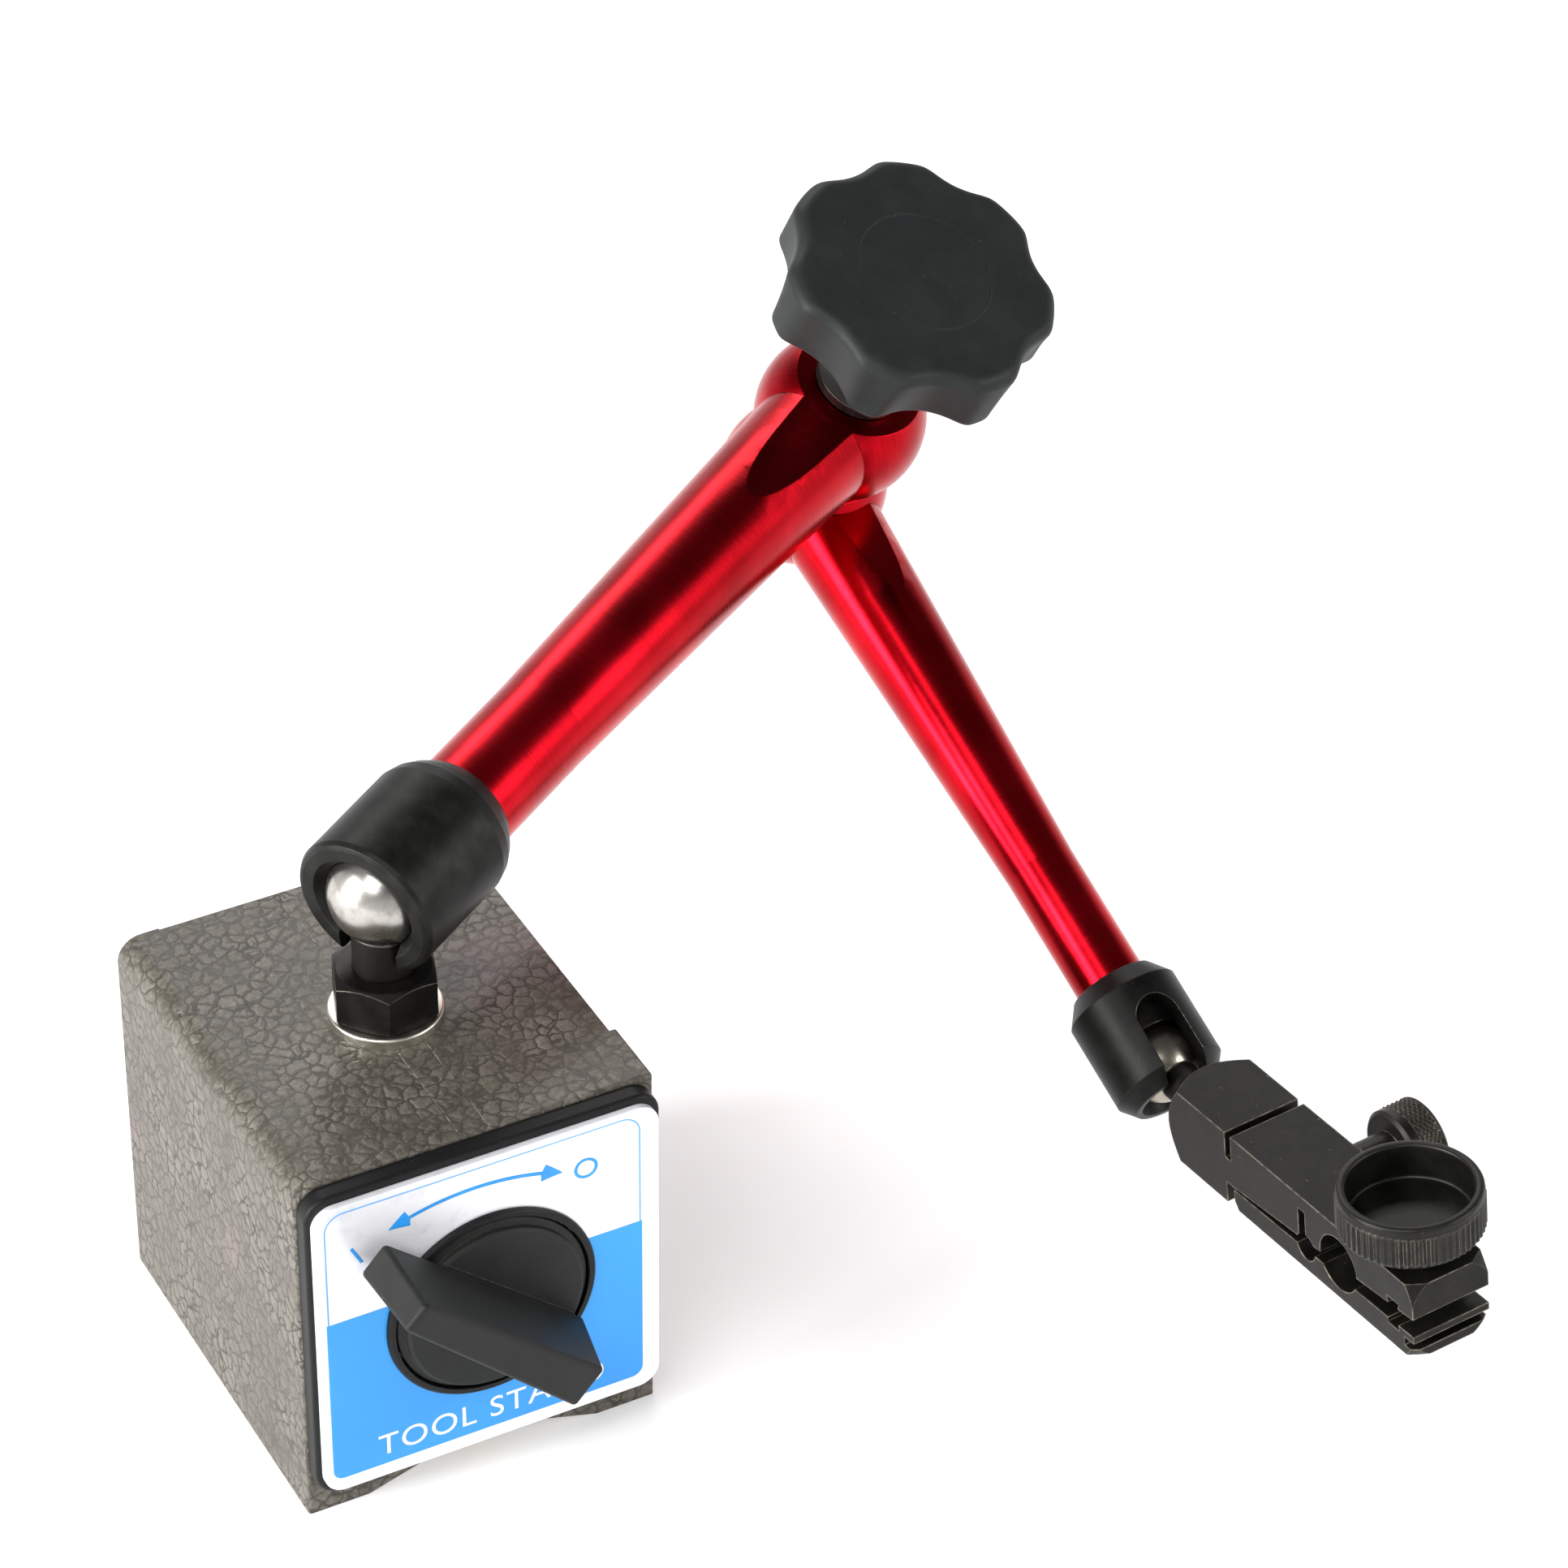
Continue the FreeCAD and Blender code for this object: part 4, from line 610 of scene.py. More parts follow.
@dataclass(frozen=True, eq=False)
class PrintedSheet(Finish):
    """The switch plate: a silver sheet with a printed border line and a blue field."""

    centre_x: float = -0.6 * MM
    line_half_width: float = 21.9 * MM
    line_top: float = 52.2 * MM
    line_corner: float = 2.6 * MM
    field_half_width: float = 22.2 * MM
    field_bottom: float = 7.9 * MM
    field_top: float = 34.5 * MM
    field_corner: float = 1.6 * MM
    blue: Colour = (0.013, 0.29, 0.80)
    pale_blue: Colour = (0.018, 0.345, 0.84)
    shade_low: float = 12 * MM
    shade_high: float = 34 * MM
    cloudy: Colour = (0.62, 0.64, 0.74)
    cloud: float = 3.2 * MM
    soft: float = 0.05 * MM
    line_half: float = 0.14 * MM
    brush: float = 0.1 * MM
    depth: float = 0.004 * MM
    rounding: float = 0.15 * MM

    def inside(self, x: Value, z: Value, half: float, low: float, high: float,
               corner: float) -> Value:
        """Signed distance out of a rounded rectangle.

        Args:
            x: across the plate from the print's middle.
            z: up the plate.
            half: the rectangle's half width.
            low: its lower edge.
            high: its upper edge.
            corner: its corner radius.

        Returns:
            The distance, negative inside: the length of what lies past the rectangle drawn in by
            the corner radius, less that radius.
        """
        middle = (low + high) / 2
        dx = (abs(x) - (half - corner)).larger(0.0)
        dz = (abs(z - middle) - ((high - low) / 2 - corner)).larger(0.0)
        return (dx * dx + dz * dz) ** 0.5 - corner

    def dress(self, sheet: NodeSheet) -> None:
        """Border line, blue field and the sheet's cloudy silver."""
        place = sheet.place()
        across, _, z = sheet.split(place)
        x = across - self.centre_x
        soft = self.soft
        line = self.inside(x, z, self.line_half_width, self.field_bottom, self.line_top,
                           self.line_corner)
        over_field = z.ramp(self.field_top - soft, self.field_top)
        on_line = abs(line).ramp(self.line_half, self.line_half - soft) * over_field
        field_edge = self.inside(x, z, self.field_half_width, self.field_bottom,
                                 2 * self.field_top, self.field_corner)
        below_top = z.ramp(self.field_top + soft, self.field_top - soft)
        on_field = field_edge.ramp(soft, -soft) * below_top
        cloud = sheet.noise(place, self.cloud, 5.0, 0.6).ramp(0.5, 0.75)
        silver = sheet.mix(cloud * 0.5, self.colour, self.cloudy)
        printed = (on_line * 0.9).larger(on_field)
        shade = sheet.mix(z.ramp(self.shade_low, self.shade_high), self.blue, self.pale_blue)
        sheet.feed("Base Color", sheet.mix(printed, silver, shade))
        sheet.feed("Metallic", self.metallic - self.metallic * printed)
        sheet.feed("Roughness", self.roughness - 0.08 * printed)
        brush = sheet.noise(sheet.stretched(place, (0.05, 1.0, 1.0)), self.brush, 2.0)
        sheet.relief(brush, self.depth, self.rounding)


BLUE_INK = Moulded("blue_ink", (0.012, 0.28, 0.75), 0.35, depth=0.002 * MM, wear=0.0)
WHITE_INK = Moulded("white_ink", (0.86, 0.88, 0.90), 0.4, depth=0.002 * MM, wear=0.0)


# ---------------------------------------------------------------------- surfaces
class Shape:
    """Meshes worked out as whole arrays."""

    @staticmethod
    def from_grid(name: str, points: np.ndarray, round_v: bool) -> bpy.types.Object:
        """A quad mesh over a grid of points.

        Args:
            name: the piece's name.
            points: an array of rows, columns and x, y, z.
            round_v: whether the last column joins the first.

        Returns:
            The object, linked to the scene.
        """
        rows, columns = points.shape[:2]
        index = np.arange(rows * columns).reshape(rows, columns)
        right = np.roll(index, -1, axis=1)
        if not round_v:
            index, right = index[:, :-1], right[:, :-1]
        quads = np.stack([index[:-1], right[:-1], right[1:], index[1:]], axis=-1).reshape(-1, 4)
        return Shape.from_faces(name, points.reshape(-1, 3), quads.tolist())

    @staticmethod
    def from_faces(name: str, points: np.ndarray, faces: Sequence[Sequence[int]],
                   smooth: bool = True) -> bpy.types.Object:
        """An object from points and faces.

        Args:
            name: the piece's name.
            points: an array of x, y, z rows.
            faces: each face's point numbers.
            smooth: whether it is shaded smooth.

        Returns:
            The object, linked to the scene.
        """
        mesh = bpy.data.meshes.new(name)
        mesh.from_pydata(points.tolist(), [], faces)
        mesh.polygons.foreach_set("use_smooth", np.full(len(mesh.polygons), smooth))
        mesh.update()
        piece = bpy.data.objects.new(name, mesh)
        bpy.context.scene.collection.objects.link(piece)
        return piece

    @staticmethod
    def turned(name: str, axes: Axes, along: np.ndarray, radius: np.ndarray) -> bpy.types.Object:
        """A surface turned about the X axis of a frame.

        Its point at row i and angle a is (along, radius cos a, radius sin a), so along and radius
        may vary over the grid; rows of zero radius close it, and are merged to a point.

        Args:
            name: the piece's name.
            axes: the frame it stands in.
            along: places along the axis, one per row or a full grid.
            radius: radii, rows by columns.

        Returns:
            The closed piece with its faces outwards.
        """
        rows, columns = radius.shape
        angle = np.arange(columns) * 2 * math.pi / columns
        x = np.broadcast_to(along.reshape(rows, -1), (rows, columns))
        points = np.stack([x, radius * np.cos(angle), radius * np.sin(angle)], axis=-1)
        piece = Shape.from_grid(name, axes.lay(points), True)
        work = bmesh.new()
        work.from_mesh(piece.data)
        bmesh.ops.remove_doubles(work, verts=work.verts, dist=MERGE_DISTANCE)
        bmesh.ops.recalc_face_normals(work, faces=work.faces)
        work.to_mesh(piece.data)
        work.free()
        return piece


def zigzag(phase: np.ndarray) -> np.ndarray:
    """A triangle wave of period 1: 0 at whole numbers and 1 half-way between."""
    return 1.0 - np.abs(2.0 * (phase - np.floor(phase)) - 1.0)


def dense_profile(corners: Sequence[Tuple[float, float]],
                  step: float) -> Tuple[np.ndarray, np.ndarray]:
    """A profile with points added along its straight runs.

    Args:
        corners: (along, radius) pairs, in millimetres.
        step: the largest gap between points, in millimetres.

    Returns:
        Two arrays in metres: places along the axis, and radii.
    """
    data = np.array(corners, float)
    runs = np.hypot(*np.diff(data, axis=0).T)
    counts = np.maximum(1, np.ceil(runs / step)).astype(int)
    parts = [np.linspace(0, 1, n, endpoint=False) + i for i, n in enumerate(counts)]
    stations = np.append(np.concatenate(parts), len(counts))
    knots = np.arange(len(data))
    along, radius = (np.interp(stations, knots, column) * MM for column in data.T)
    return along, radius


def profile(corners: Outline) -> np.ndarray:
    """A profile's (along, radius) pairs as an array."""
    return np.array(corners, float)


def dress(piece: bpy.types.Object, material: bpy.types.Material) -> None:
    """Gives a piece one material."""
    piece.data.materials.clear()
    piece.data.materials.append(material)


# ---------------------------------------------------------------------- sub-assemblies
class Body(Enum):
    """The moving bodies that new pieces ride on."""

    BASE = "base"
    KNOB = "knob"
    CLAMP = "clamp_screw"
    FINE = "fine"


@dataclass
class SubAssembly:
    """Part of the stand: dresses its CAD nodes and adds its own pieces."""

    joints: Joints
    pieces: List[bpy.types.Object] = field(default_factory=list)

    def finishes(self) -> Dict[Finish, Tuple[str, ...]]:
        """Which finish each CAD node gets."""
        return {}

    def add_pieces(self) -> None:
        """Builds the pieces that the CAD nodes don't have."""

    def keep(self, piece: bpy.types.Object, body: Body, slot: str, finish: Finish,
             replaced: Iterable[str] = ()) -> None:
        """Finishes a new piece.

        Args:
            piece: the object.
            body: the body it moves with.
            slot: the record's material slot; not used.
            finish: its finish.
            replaced: the CAD nodes it stands for.
        """
        dress(piece, finish.material())
        if replaced:
            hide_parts(*replaced)
        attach(piece, body.value)
        self.pieces.append(piece)
        LOG.info("%s: %d faces on %s", piece.name, len(piece.data.polygons), body.value)

    def build(self) -> None:
        """Dresses the nodes and adds the pieces."""
        for finish, nodes in self.finishes().items():
            material = finish.material()
            for node in nodes:
                dress(frame["nodes"][node], material)
            LOG.info("%s on %s", finish.name, ", ".join(nodes))
        self.add_pieces()


@dataclass(frozen=True)
class Print:
    """Printed words: the font's size, the middle of the words on the plate, and their tilt.

    The tilt is in degrees, anticlockwise seen from the front.
    """

    name: str
    words: str
    size: float
    place: Tuple[float, float]
    turn: float
    ink: Finish


@dataclass
class MagneticBase(SubAssembly):
    """Housing, bezel, printed plate, bearings and stud fixings."""

    print_rise: float = 0.03 * MM
    arrow_centre: Tuple[float, float] = (-1.75 * MM, 15.3 * MM)
    arrow_radius: float = 33.9 * MM
    arrow_start: float = 69.0
    arrow_end: float = 111.0
    arrow_half: float = 0.27 * MM
    arrow_rows: int = 97
    head_length: float = 2.9 * MM
    head_half: float = 1.35 * MM
    letter_gap: float = 1.08
    letter_steps: int = 6
    prints: Tuple[Print, ...] = (
        Print("print_open", "O", 4.6 * MM, (13.6 * MM, 46.2 * MM), -20.0, BLUE_INK),
        Print("print_closed", "I", 4.6 * MM, (-18.2 * MM, 44.4 * MM), 27.0, BLUE_INK),
        Print("print_title", "TOOL STAND", 4.9 * MM, (-0.2 * MM, 11.0 * MM), 0.0, WHITE_INK),
    )

    def finishes(self) -> Dict[Finish, Tuple[str, ...]]:
        """Finishes of the base's nodes."""
        return {
            HammeredPaint("hammered_enamel", ENAMEL, 0.36, specular=0.25):
                ("left_pole", "right_pole", "rear_cover"),
            DividerMetal("enamel_over_brass", ENAMEL, 0.36, specular=0.25): ("brass_divider",),
            Moulded("bezel_plastic", (0.006, 0.006, 0.006), 0.42, specular=0.2,
                    depth=0.004 * MM): ("front_bezel",),
            PrintedSheet("printed_sheet", (0.90, 0.90, 0.93), 0.38, 0.35): ("printed_plate",),
            TurnedMetal("zinc_plate", (0.78, 0.75, 0.66), 0.25, 1.0):
                ("stud_washer", "bezel_screws"),
            TurnedMetal("bearing_bronze", (0.50, 0.33, 0.16), 0.4, 1.0):
                ("rear_bush", "front_bush"),
            TurnedMetal("bearing_steel", (0.5, 0.5, 0.5), 0.35, 1.0): ("front_bearing_disc",),
            BlackOxide("nut_oxide", (0.012, 0.011, 0.010), 0.26, 0.8, wear=0.55): ("stud_nut",),
        }

    def add_pieces(self) -> None:
        """The printed arrow and the lettering."""
        self.keep(self.arrow(), Body.BASE, "printed_face", BLUE_INK)
        for words in self.prints:
            self.keep(self.lettering(words), Body.BASE, "printed_face", words.ink)

    def face(self) -> float:
        """Y of the printed plate's front, less the print's thickness."""
        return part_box("printed_plate")[0].y - self.print_rise

    def arrow(self) -> bpy.types.Object:
        """A double-headed arrow bent along an arc.

        Its centre line is the circle of arrow_radius about arrow_centre; the half width is
        arrow_half between the heads and falls from head_half to nothing over each head.

        Returns:
            The mesh piece.
        """
        degrees = np.linspace(self.arrow_end, self.arrow_start, self.arrow_rows)
        arc = np.radians(degrees)
        travelled = self.arrow_radius * np.abs(arc - arc[0])
        whole = travelled[-1]
        tip = np.minimum(travelled, whole - travelled)
        head = tip < self.head_length
        half = np.where(head, self.head_half * tip / self.head_length, self.arrow_half)
        low_high = self.arrow_radius + np.stack([half, -half], axis=1)
        x = self.arrow_centre[0] + low_high * np.cos(arc)[:, None]
        z = self.arrow_centre[1] + low_high * np.sin(arc)[:, None]
        top = np.stack([x, np.full_like(x, self.face()), z], axis=-1)
        bottom = top + np.array([0, self.print_rise, 0])
        ring = np.concatenate([top, bottom[:, ::-1]], axis=1)
        piece = Shape.from_grid("print_arrow", ring, True)
        piece.data.polygons.foreach_set("use_smooth", np.zeros(len(piece.data.polygons), bool))
        return piece

    def lettering(self, words: Print) -> bpy.types.Object:
        """Printed letters as a thin mesh on the plate.

        Args:
            words: what is printed, and where.

        Returns:
            The mesh piece.
        """
        curve = bpy.data.curves.new(words.name, "FONT")
        curve.body = words.words
        curve.size = words.size
        curve.align_x = "CENTER"
        curve.align_y = "CENTER"
        curve.space_character = self.letter_gap
        curve.extrude = self.print_rise / 2
        curve.resolution_u = self.letter_steps
        text = bpy.data.objects.new(words.name + "_curve", curve)
        bpy.context.scene.collection.objects.link(text)
        bpy.context.view_layer.update()
        finished = text.evaluated_get(bpy.context.evaluated_depsgraph_get())
        mesh = bpy.data.meshes.new_from_object(finished)
        bpy.data.objects.remove(text)
        across, up = words.place
        upright = Matrix.Rotation(math.pi / 2, 4, "X")
        lean = Matrix.Rotation(-math.radians(words.turn), 4, "Y")
        middle = Matrix.Translation((across, self.face() + self.print_rise / 2, up))
        mesh.transform(middle @ lean @ upright)
        mesh.name = words.name
        piece = bpy.data.objects.new(words.name, mesh)
        bpy.context.scene.collection.objects.link(piece)
        return piece


@dataclass
class MagnetSwitch(SubAssembly):
    """Handle, shaft and rotor."""

    def finishes(self) -> Dict[Finish, Tuple[str, ...]]:
        """Finishes of the switch's nodes."""
        return {
            Moulded("handle_plastic", (0.0125, 0.0135, 0.012), 0.50, specular=0.22, wear=0.6,
                    scuffed=(0.12, 0.10, 0.08)): ("switch_handle",),
            TurnedMetal("shaft_steel", (0.45, 0.44, 0.42), 0.3, 1.0):
                ("switch_shaft", "rotor_rivets"),
            TurnedMetal("cast_aluminium", (0.72, 0.72, 0.73), 0.5, 1.0):
                ("rotor_front_cap", "rotor_rear_cap"),
            Moulded("ferrite", (0.05, 0.05, 0.05), 0.7): ("rotor_magnet",),
            TurnedMetal("soft_iron", (0.40, 0.39, 0.38), 0.4, 1.0): ("rotor_shoes",),
        }


@dataclass
class Arms(SubAssembly):
    """Lower ball joint, both arms and the upper socket."""

    def finishes(self) -> Dict[Finish, Tuple[str, ...]]:
        """Finishes of the arms' nodes."""
        lower = self.joints.lower_arm()
        upper = self.joints.upper_arm()
        return {
            BallAndNeck("ball_stud_steel", (0.45, 0.43, 0.40), 0.2, 1.0,
                        centre=self.joints.point("arm_tilt")): ("ball_stud",),
            BlackOxide("lower_socket_oxide", (0.012, 0.012, 0.011), 0.32, 0.7, specular=0.25,
                       lay=lower, wear=0.4): ("lower_socket",),
            BlackOxide("upper_socket_oxide", (0.006, 0.006, 0.0055), 0.30, 0.6, specular=0.25,
                       lay=upper, wear=0.5): ("upper_socket",),
            Anodised("red_lower", RED_DYE, 0.23, 1.0, axes=lower): ("lower_tube", "lower_hub"),
            Anodised("red_upper", RED_DYE, 0.18, 1.0, axes=upper): ("upper_tube", "upper_hub"),
            TurnedMetal("push_rod_steel", (0.45, 0.44, 0.42), 0.3, 1.0):
                ("lower_push_rod", "upper_push_rod"),
            BlackOxide("pad_oxide", (0.012, 0.011, 0.010), 0.35, 0.7, specular=0.25):
                ("lower_ball_pad", "upper_ball_pad"),
        }


@dataclass
class ElbowClamp(SubAssembly):
    """Knob, sleeve, bolt, spring and friction washer.

    Lengths are in millimetres. A profile is (height over the hub's centre, radius) pairs.
    """

    columns: int = 336
    lobes: int = 7
    first_valley: float = 17.31
    top: float = 33.6
    bottom: float = 23.2
    tip: float = 19.28
    scallop_centre: float = 26.9
    scallop_radius: float = 9.0
    scallop_growth: float = 1.9
    softness: float = 1.5
    under_edge: float = 1.4
    face_edge: float = 2.1
    edge_rows: int = 9
    face_rows: int = 6
    face_start: float = 0.1
    neck: Outline = ((26.1, 0.0), (26.1, 3.0), (25.2, 3.0), (25.2, 5.02), (9.65, 5.02),
                     (9.65, 6.35), (9.85, 6.6), (21.2, 7.1), (21.6, 7.3), (23.2, 9.1))
    face: Outline = ((33.6, 9.75), (33.6, 9.6), (33.5, 9.55), (33.5, 9.48), (33.6, 9.43),
                     (33.6, 9.3), (33.6, 8.1), (33.6, 0.0))
    face_radius: float = 9.6

    def finishes(self) -> Dict[Finish, Tuple[str, ...]]:
        """Finishes of the elbow's nodes."""
        elbow = self.joints.elbow()
        return {
            TurnedMetal("brass_insert", (0.62, 0.44, 0.20), 0.3, 1.0, lay=elbow):
                ("knob_insert", "friction_washer"),
            TurnedMetal("sleeve_steel", (0.4, 0.4, 0.39), 0.3, 1.0, lay=elbow):
                ("release_spring",),
            BlackOxide("bolt_oxide", (0.014, 0.013, 0.012), 0.30, 0.75, specular=0.25):
                ("clamp_bolt", "thrust_sleeve"),
        }

    def add_pieces(self) -> None:
        """The moulded knob."""
        elbow = self.joints.elbow()
        axes = Axes(elbow.origin, elbow.z, elbow.z.cross(elbow.x))
        plastic = Moulded("knob_plastic", (0.013, 0.0155, 0.0150), 0.45, specular=0.2,
                          depth=0.016 * MM, wear=0.12)
        self.keep(self.grip(axes), Body.KNOB, "knob_plastic", plastic, ("knob_body", "knob_cap"))

    def outline(self, height: np.ndarray) -> np.ndarray:
        """The grip's outline at some heights.

        A scallop's edge lies at its centre's distance times cos, less the root of its radius
        squared less the distance times sin squared, for the angle from the nearest valley; the
        outline is the soft minimum of that and the tip radius. The scallop's radius grows
        downwards by scallop_growth.

        Args:
            height: heights over the hub's centre, one per row.

        Returns:
            Radii, rows by columns.
        """
        pitch = 2 * math.pi / self.lobes
        turn = np.arange(self.columns) * 2 * math.pi / self.columns
        away = (turn - math.radians(self.first_valley) + pitch / 2) % pitch - pitch / 2
        down = (self.top - height[:, None]) / (self.top - self.bottom)
        radius = self.scallop_radius + self.scallop_growth * down
        inside = radius ** 2 - (self.scallop_centre * np.sin(away)) ** 2
        cut = self.scallop_centre * np.cos(away) - np.sqrt(np.maximum(inside, 0.0))
        far = self.softness * (self.tip - np.where(inside > 0, cut, 2 * self.tip))
        return self.tip - np.log1p(np.exp(far)) / self.softness

    def grip(self, axes: Axes) -> bpy.types.Object:
        """The knob: a bored neck, a lobed grip with rounded edges, and a fine ring on its face.

        The grip's edges are quarter ellipses of under_edge and face_edge, taken off the outline;
        its flat faces run from the hub's radius to the inset outline in even shares.

        Args:
            axes: the frame, with its X up the knob.

        Returns:
            The closed piece.
        """
        neck, face = profile(self.neck), profile(self.face)
        bend = np.radians(np.linspace(0, 90, self.edge_rows))
        run = np.linspace(self.face_start, 1.0, self.face_rows)
        flat = np.ones(self.face_rows)
        height = np.concatenate([flat * self.bottom,
                                 self.bottom + self.under_edge * (1 - np.cos(bend)),
                                 self.top - self.face_edge * (1 - np.sin(bend)),
                                 flat * self.top])
        inset = np.concatenate([flat * self.under_edge,
                                self.under_edge * (1 - np.sin(bend)),
                                self.face_edge * (1 - np.cos(bend)),
                                flat * self.face_edge])
        share = np.concatenate([run, np.ones(2 * self.edge_rows), run[::-1]])
        hub = np.where(height < (self.top + self.bottom) / 2, neck[-1, 1], self.face_radius)
        reach = self.outline(height) - inset[:, None] - hub[:, None]
        wall = hub[:, None] + share[:, None] * reach
        ends = [np.repeat(rows[:, 1:], self.columns, axis=1) for rows in (neck, face)]
        along = np.concatenate([neck[:, 0], height, face[:, 0]]) * MM
        radius = np.concatenate([ends[0], wall, ends[1]]) * MM
        return Shape.turned("knob_grip", axes, along, radius)


@dataclass
class IndicatorClamp(SubAssembly):
    """Ball pin, holder, jaw, clamp screw and fine adjustment.

    Each profile is (along, radius) pairs in millimetres. Along is measured from the holder's top
    in cup_foot, from band_rise over it in cup_shoulder, from the cup's rim in cup_rim, and from
    the holder's side in fine_profile.
    """

    holder_top: float = 5.7
    holder_side: float = 5.9
    cup_columns: int = 480
    cup_step: float = 0.35
    rim_rise: float = 9.1
    band_rise: float = 1.6
    teeth: int = 60
    tooth_depth: float = 0.42 * MM
    tooth_mean: float = 0.72
    tooth_radius: float = 8.7
    tooth_band: Tuple[float, float] = (0.7, -1.4)
    tooth_fades: Tuple[float, float] = (0.5, 0.3)
    tooth_beats: Tuple[Tuple[float, int, float], ...] = ((0.2, 7, 1.0), (0.12, 17, 0.0))
    cup_foot: Outline = ((0.05, 2.5), (0.05, 5.0))
    cup_shoulder: Outline = ((-0.1, 5.6), (0.0, 5.7), (0.0, 7.6), (0.15, 7.8), (1.5, 9.4),
                             (1.8, 9.59))
    cup_rim: Outline = ((-1.5, 9.59), (-1.35, 9.42), (-0.45, 9.42), (-0.1, 9.25), (0.0, 9.0),
                        (0.0, 8.45), (-0.15, 8.25), (-0.4, 8.2), (-4.8, 8.2), (-5.1, 8.1),
                        (-5.2, 7.8), (-5.2, 0.0))
    floor_under: float = -6.2
    screw_start: float = -5.5
    screw_end: float = 8.58
    thread_end: float = 6.0
    screw_rows: int = 150
    screw_columns: int = 64
    screw_radius: float = 2.5
    screw_chamfer: float = 0.4
    thread_fade: float = 0.6
    thread_pitch: float = 0.8 * MM
    thread_depth: float = 0.42 * MM
    knurl_columns: int = 300
    knurl_step: float = 0.1
    knurl_starts: int = 34
    knurl_depth: float = 0.30 * MM
    knurl_lead: float = 24.0 * MM
    knurl_low: float = 6.5
    knurl_high: float = 10.0
    knurl_fade: float = 0.2
    knurl_radius: float = 5.6
    fine_profile: Outline = ((0.05, 1.8), (0.05, 3.2), (5.0, 3.2), (5.0, 5.2), (5.12, 5.42),
                             (5.5, 5.8), (6.5, 5.8), (6.7, 5.99), (9.9, 5.99), (10.2, 5.85),
                             (10.6, 5.3), (10.6, 0.0))

    def finishes(self) -> Dict[Finish, Tuple[str, ...]]:
        """Finishes of the holder's nodes."""
        return {
            BallAndNeck("ball_pin_steel", (0.42, 0.38, 0.31), 0.25, 1.0,
                        centre=self.joints.point("wrist_tilt"),
                        ball=UPPER_BALL_RADIUS): ("ball_pin",),
            BlackOxide("holder_oxide", (0.0085, 0.008, 0.0065), 0.34, 0.6, specular=0.25,
                       lay=self.joints.holder(), bare=(0.40, 0.36, 0.27), wear=1.0,
                       reach=0.42 * MM, rounding=0.18 * MM): ("holder_body", "lower_jaw"),
            TurnedMetal("fine_screw_steel", (0.3, 0.29, 0.27), 0.3, 1.0): ("fine_screw",),
        }

    def add_pieces(self) -> None:
        """Knurled knobs and the threaded clamp screw."""
        clamp = self.joints.clamp()
        fine = self.joints.fine()
        dark = BlackOxide("knurl_oxide", (0.010, 0.0095, 0.008), 0.33, 0.65, lay=clamp, wear=0.8)
        self.keep(self.cup_knob(clamp), Body.CLAMP, "knurled_steel", dark, ("clamp_knob",))
        screw = BlackOxide("screw_oxide", (0.05, 0.046, 0.04), 0.3, 0.9, lay=clamp, wear=0.6)
        self.keep(self.clamp_screw(clamp), Body.CLAMP, "dull_steel", screw, ("clamp_screw",))
        knurled = BlackOxide("fine_knurl_oxide", (0.012, 0.011, 0.009), 0.33, 0.7, lay=fine,
                             wear=0.8, reach=0.12 * MM, rounding=0.05 * MM)
        self.keep(self.fine_knob(fine), Body.FINE, "knurled_steel", knurled, ("fine_knob",))

    @staticmethod
    def band(along: np.ndarray, low: float, high: float, fades: Tuple[float, float]) -> np.ndarray:
        """1 between two places along an axis, falling to 0 at each of them.

        Args:
            along: places, in metres.
            low: where it starts to rise, in millimetres.
            high: where it has fallen to 0, in millimetres.
            fades: the lengths of the rise and the fall, in millimetres.

        Returns:
            The smaller of the two slopes at each place, within 0 and 1.
        """
        rise = (along - low * MM) / (fades[0] * MM)
        fall = (high * MM - along) / (fades[1] * MM)
        return np.clip(np.minimum(rise, fall), 0.0, 1.0)

    def cup_knob(self, axes: Axes) -> bpy.types.Object:
        """The cup knob: a turned cup whose lower band has straight knurling.

        The radius on the band is less by tooth_depth times a triangle wave round the axis, whose
        teeth differ a little in depth by a slow sum of two sines; the wave fades out at the
        band's ends.

        Args:
            axes: the frame, with its X up the clamp screw.

        Returns:
            The closed piece.
        """
        rim = self.holder_top + self.rim_rise
        bottom = self.holder_top + self.band_rise
        under = [(rim + self.floor_under, 0.0), (rim + self.floor_under, 2.5)]
        outlines = ((self.holder_top, self.cup_foot), (bottom, self.cup_shoulder),
                    (rim, self.cup_rim))
        turned = [(level + rise, radius) for level, outline in outlines for rise, radius in outline]
        along, radius = dense_profile(under + turned, self.cup_step)
        turn = np.arange(self.cup_columns) / self.cup_columns
        slow = self.tooth_mean + sum(size * np.sin(2 * math.pi * count * turn + phase)
                                     for size, count, phase in self.tooth_beats)
        wave = (1.0 - zigzag(turn * self.teeth)) * slow
        outside = radius > self.tooth_radius * MM
        low, high = bottom + self.tooth_band[0], rim + self.tooth_band[1]
        band = self.band(along, low, high, self.tooth_fades) * outside
        grid = radius[:, None] - self.tooth_depth * band[:, None] * wave[None, :]
        return Shape.turned("cup_knob", axes, along, grid)

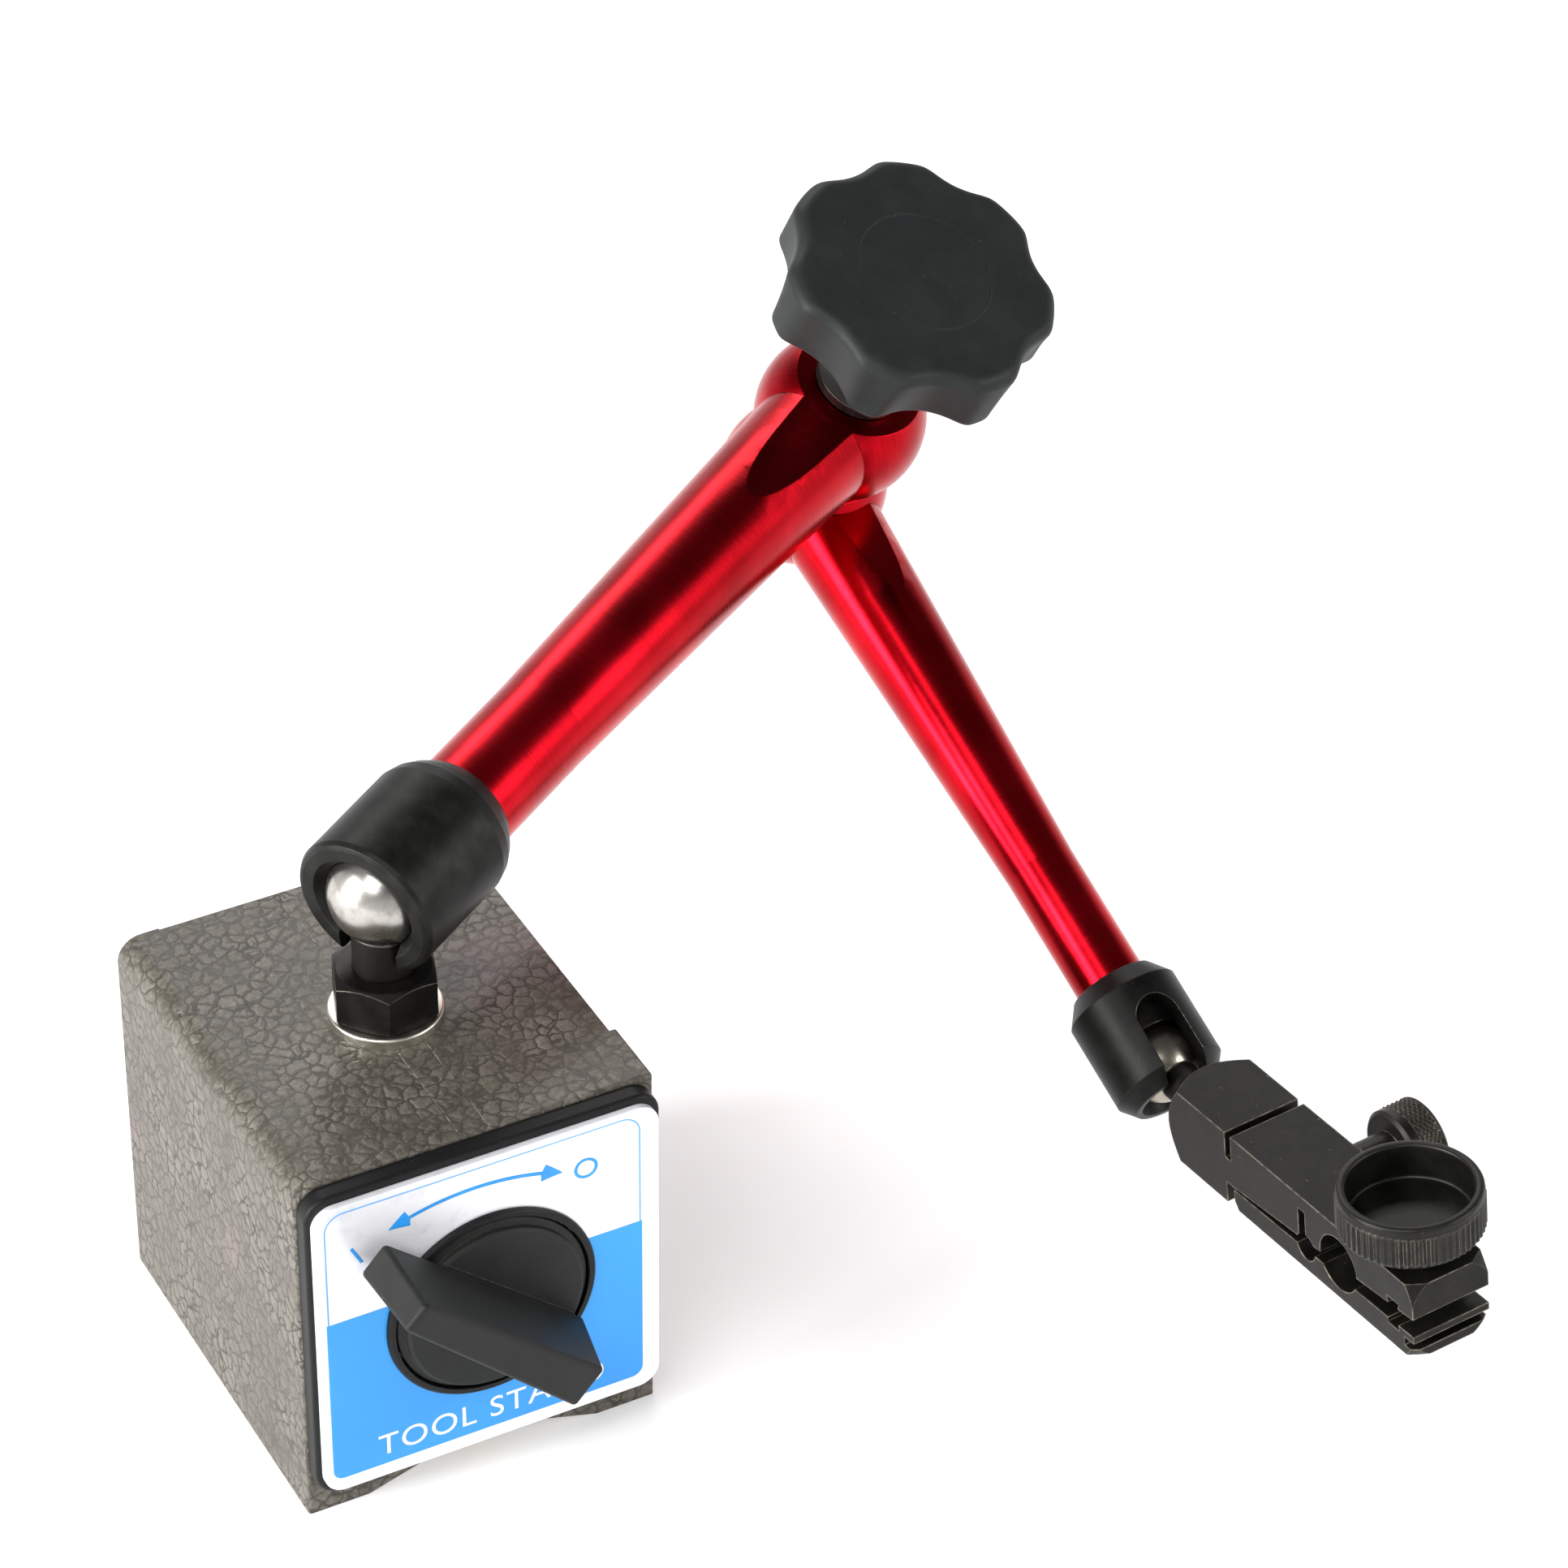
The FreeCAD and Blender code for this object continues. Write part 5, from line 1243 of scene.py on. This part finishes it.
    def clamp_screw(self, axes: Axes) -> bpy.types.Object:
        """The threaded screw.

        Its radius falls by thread_depth times a triangle wave of place over pitch plus turn, so
        the crest climbs one pitch a turn; the wave fades at both ends.

        Args:
            axes: the frame, with its X up the screw.

        Returns:
            The closed piece.
        """
        columns = self.screw_columns
        chamfer = self.screw_chamfer * MM
        along = np.linspace(self.screw_start, self.screw_end, self.screw_rows) * MM
        turn = np.arange(columns) / columns
        wave = 1.0 - zigzag(along[:, None] / self.thread_pitch + turn[None, :])
        fade = self.band(along, self.screw_start, self.thread_end, (self.thread_fade,) * 2)
        grid = self.screw_radius * MM - self.thread_depth * fade[:, None] * wave
        point = np.zeros((1, columns))
        grid = np.concatenate([point, grid[:1] - chamfer, grid, point])
        along = np.concatenate([along[:1], along[:1], along[:1] + chamfer, along[1:], along[-1:]])
        return Shape.turned("clamp_screw_thread", axes, along, grid)

    def fine_knob(self, axes: Axes) -> bpy.types.Object:
        """The diamond-knurled knob.

        It has two opposed sets of helical grooves, each a triangle wave of turn times starts plus
        or minus place over lead, and the lower of the two sets the surface.

        Args:
            axes: the frame, with its X out of the holder's side.

        Returns:
            The closed piece.
        """
        side = self.holder_side
        corners = [(side + rise, radius) for rise, radius in self.fine_profile]
        along, radius = dense_profile(corners, self.knurl_step)
        turn = np.arange(self.knurl_columns) / self.knurl_columns
        climb = along[:, None] / self.knurl_lead * self.knurl_starts
        one = zigzag(turn[None, :] * self.knurl_starts + climb)
        other = zigzag(turn[None, :] * self.knurl_starts - climb)
        outside = radius > self.knurl_radius * MM
        band = self.band(along, side + self.knurl_low, side + self.knurl_high,
                         (self.knurl_fade,) * 2) * outside
        grid = radius[:, None] - self.knurl_depth * band[:, None] * (1.0 - np.minimum(one, other))
        closed = np.concatenate([np.zeros((1, self.knurl_columns)), grid])
        return Shape.turned("fine_knob_knurl", axes, np.concatenate([along[:1], along]), closed)


# ---------------------------------------------------------------------- studio
@dataclass(frozen=True)
class SoftBox:
    """A soft rectangular lamp."""

    name: str
    place: Tuple[float, float, float]
    size: Tuple[float, float]
    power: float

    def light(self, target: Vector) -> None:
        """Sets the lamp up, facing a target."""
        lamp = bpy.data.lights.new(self.name, "AREA")
        lamp.shape = "RECTANGLE"
        lamp.size, lamp.size_y = self.size
        lamp.energy = self.power
        holder = bpy.data.objects.new(self.name, lamp)
        holder.location = self.place
        holder.rotation_euler = (target - Vector(self.place)).to_track_quat("-Z", "Y").to_euler()
        bpy.context.scene.collection.objects.link(holder)


@dataclass
class Studio:
    """Camera, pale floor, soft lamps and surroundings."""

    lens: float = 131.56
    sensor: float = 36.0
    clip: Tuple[float, float] = (0.01, 50.0)
    eye: Tuple[float, float, float] = (-0.228765, -0.526726, 0.519701)
    right: Tuple[float, float, float] = (0.88232909, -0.47050143, 0.01112579)
    down: Tuple[float, float, float] = (-0.27362954, -0.53208325, -0.80125795)
    floor_half: float = 6.0
    horizon: Tuple[float, Colour] = (0.10, WHITE)
    overhead: Tuple[float, Colour] = (0.55, (0.10, 0.10, 0.11))
    lamps: Tuple[SoftBox, ...] = (
        SoftBox("key", (-0.55, -0.45, 0.85), (0.55, 0.55), 6.0),
        SoftBox("left_strip", (-0.95, 0.05, 0.40), (0.45, 0.6), 17.0),
        SoftBox("fill", (0.75, -0.65, 0.45), (0.5, 0.4), 4.5),
        SoftBox("back", (0.3, 0.9, 0.8), (0.8, 0.3), 5.0),
    )

    def camera(self) -> None:
        """The camera, from its place and two of its axes."""
        data = bpy.data.cameras.new("camera")
        data.lens = self.lens
        data.sensor_width = self.sensor
        data.clip_start, data.clip_end = self.clip
        seen = bpy.data.objects.new("camera", data)
        right = Vector(self.right).normalized()
        up = -Vector(self.down).normalized()
        turn = Matrix((right, up, right.cross(up))).transposed()
        seen.matrix_world = Matrix.Translation(self.eye) @ turn.to_4x4()
        bpy.context.scene.collection.objects.link(seen)
        bpy.context.scene.camera = seen

    def floor(self) -> None:
        """A plain pale floor just under the feet."""
        corners = self.floor_half * np.array([(-1, -1, 0), (1, -1, 0), (1, 1, 0), (-1, 1, 0)])
        corners[:, 2] = CAD_BOX[0][2] - FLOOR_GAP
        piece = Shape.from_faces("floor", corners, [[0, 1, 2, 3]], False)
        paper = Finish("floor_paper", (0.90, 0.90, 0.90), 0.9, glow=0.3).material()
        dress(piece, paper)

    def surroundings(self) -> None:
        """A room that is bright at the horizon and dim overhead."""
        world = bpy.data.worlds.new("room")
        sheet = NodeSheet(world, "Background")
        way = sheet.node("ShaderNodeTexCoord", {}, {}, "Generated")
        stops = {"stops": (self.horizon, self.overhead)}
        room = sheet.node("ShaderNodeValToRGB", stops, {0: sheet.split(way)[2]})
        sheet.feed("Color", room)
        sheet.feed("Strength", 1.0)
        bpy.context.scene.world = world

    def build(self) -> None:
        """Sets up everything round the object."""
        self.camera()
        self.floor()
        self.surroundings()
        target = (Vector(CAD_BOX[0]) + Vector(CAD_BOX[1])) / 2
        for lamp in self.lamps:
            lamp.light(target)
        bpy.context.scene.view_settings.view_transform = "Standard"


def main() -> None:
    """Builds the studio and the sub-assemblies."""
    logging.basicConfig(level=logging.INFO, format="%(name)s: %(message)s")
    joints = Joints({joint["name"]: joint for joint in frame["joints"]})
    Studio().build()
    for part in (MagneticBase, MagnetSwitch, Arms, ElbowClamp, IndicatorClamp):
        part(joints).build()


if __name__ == "__main__":
    main()
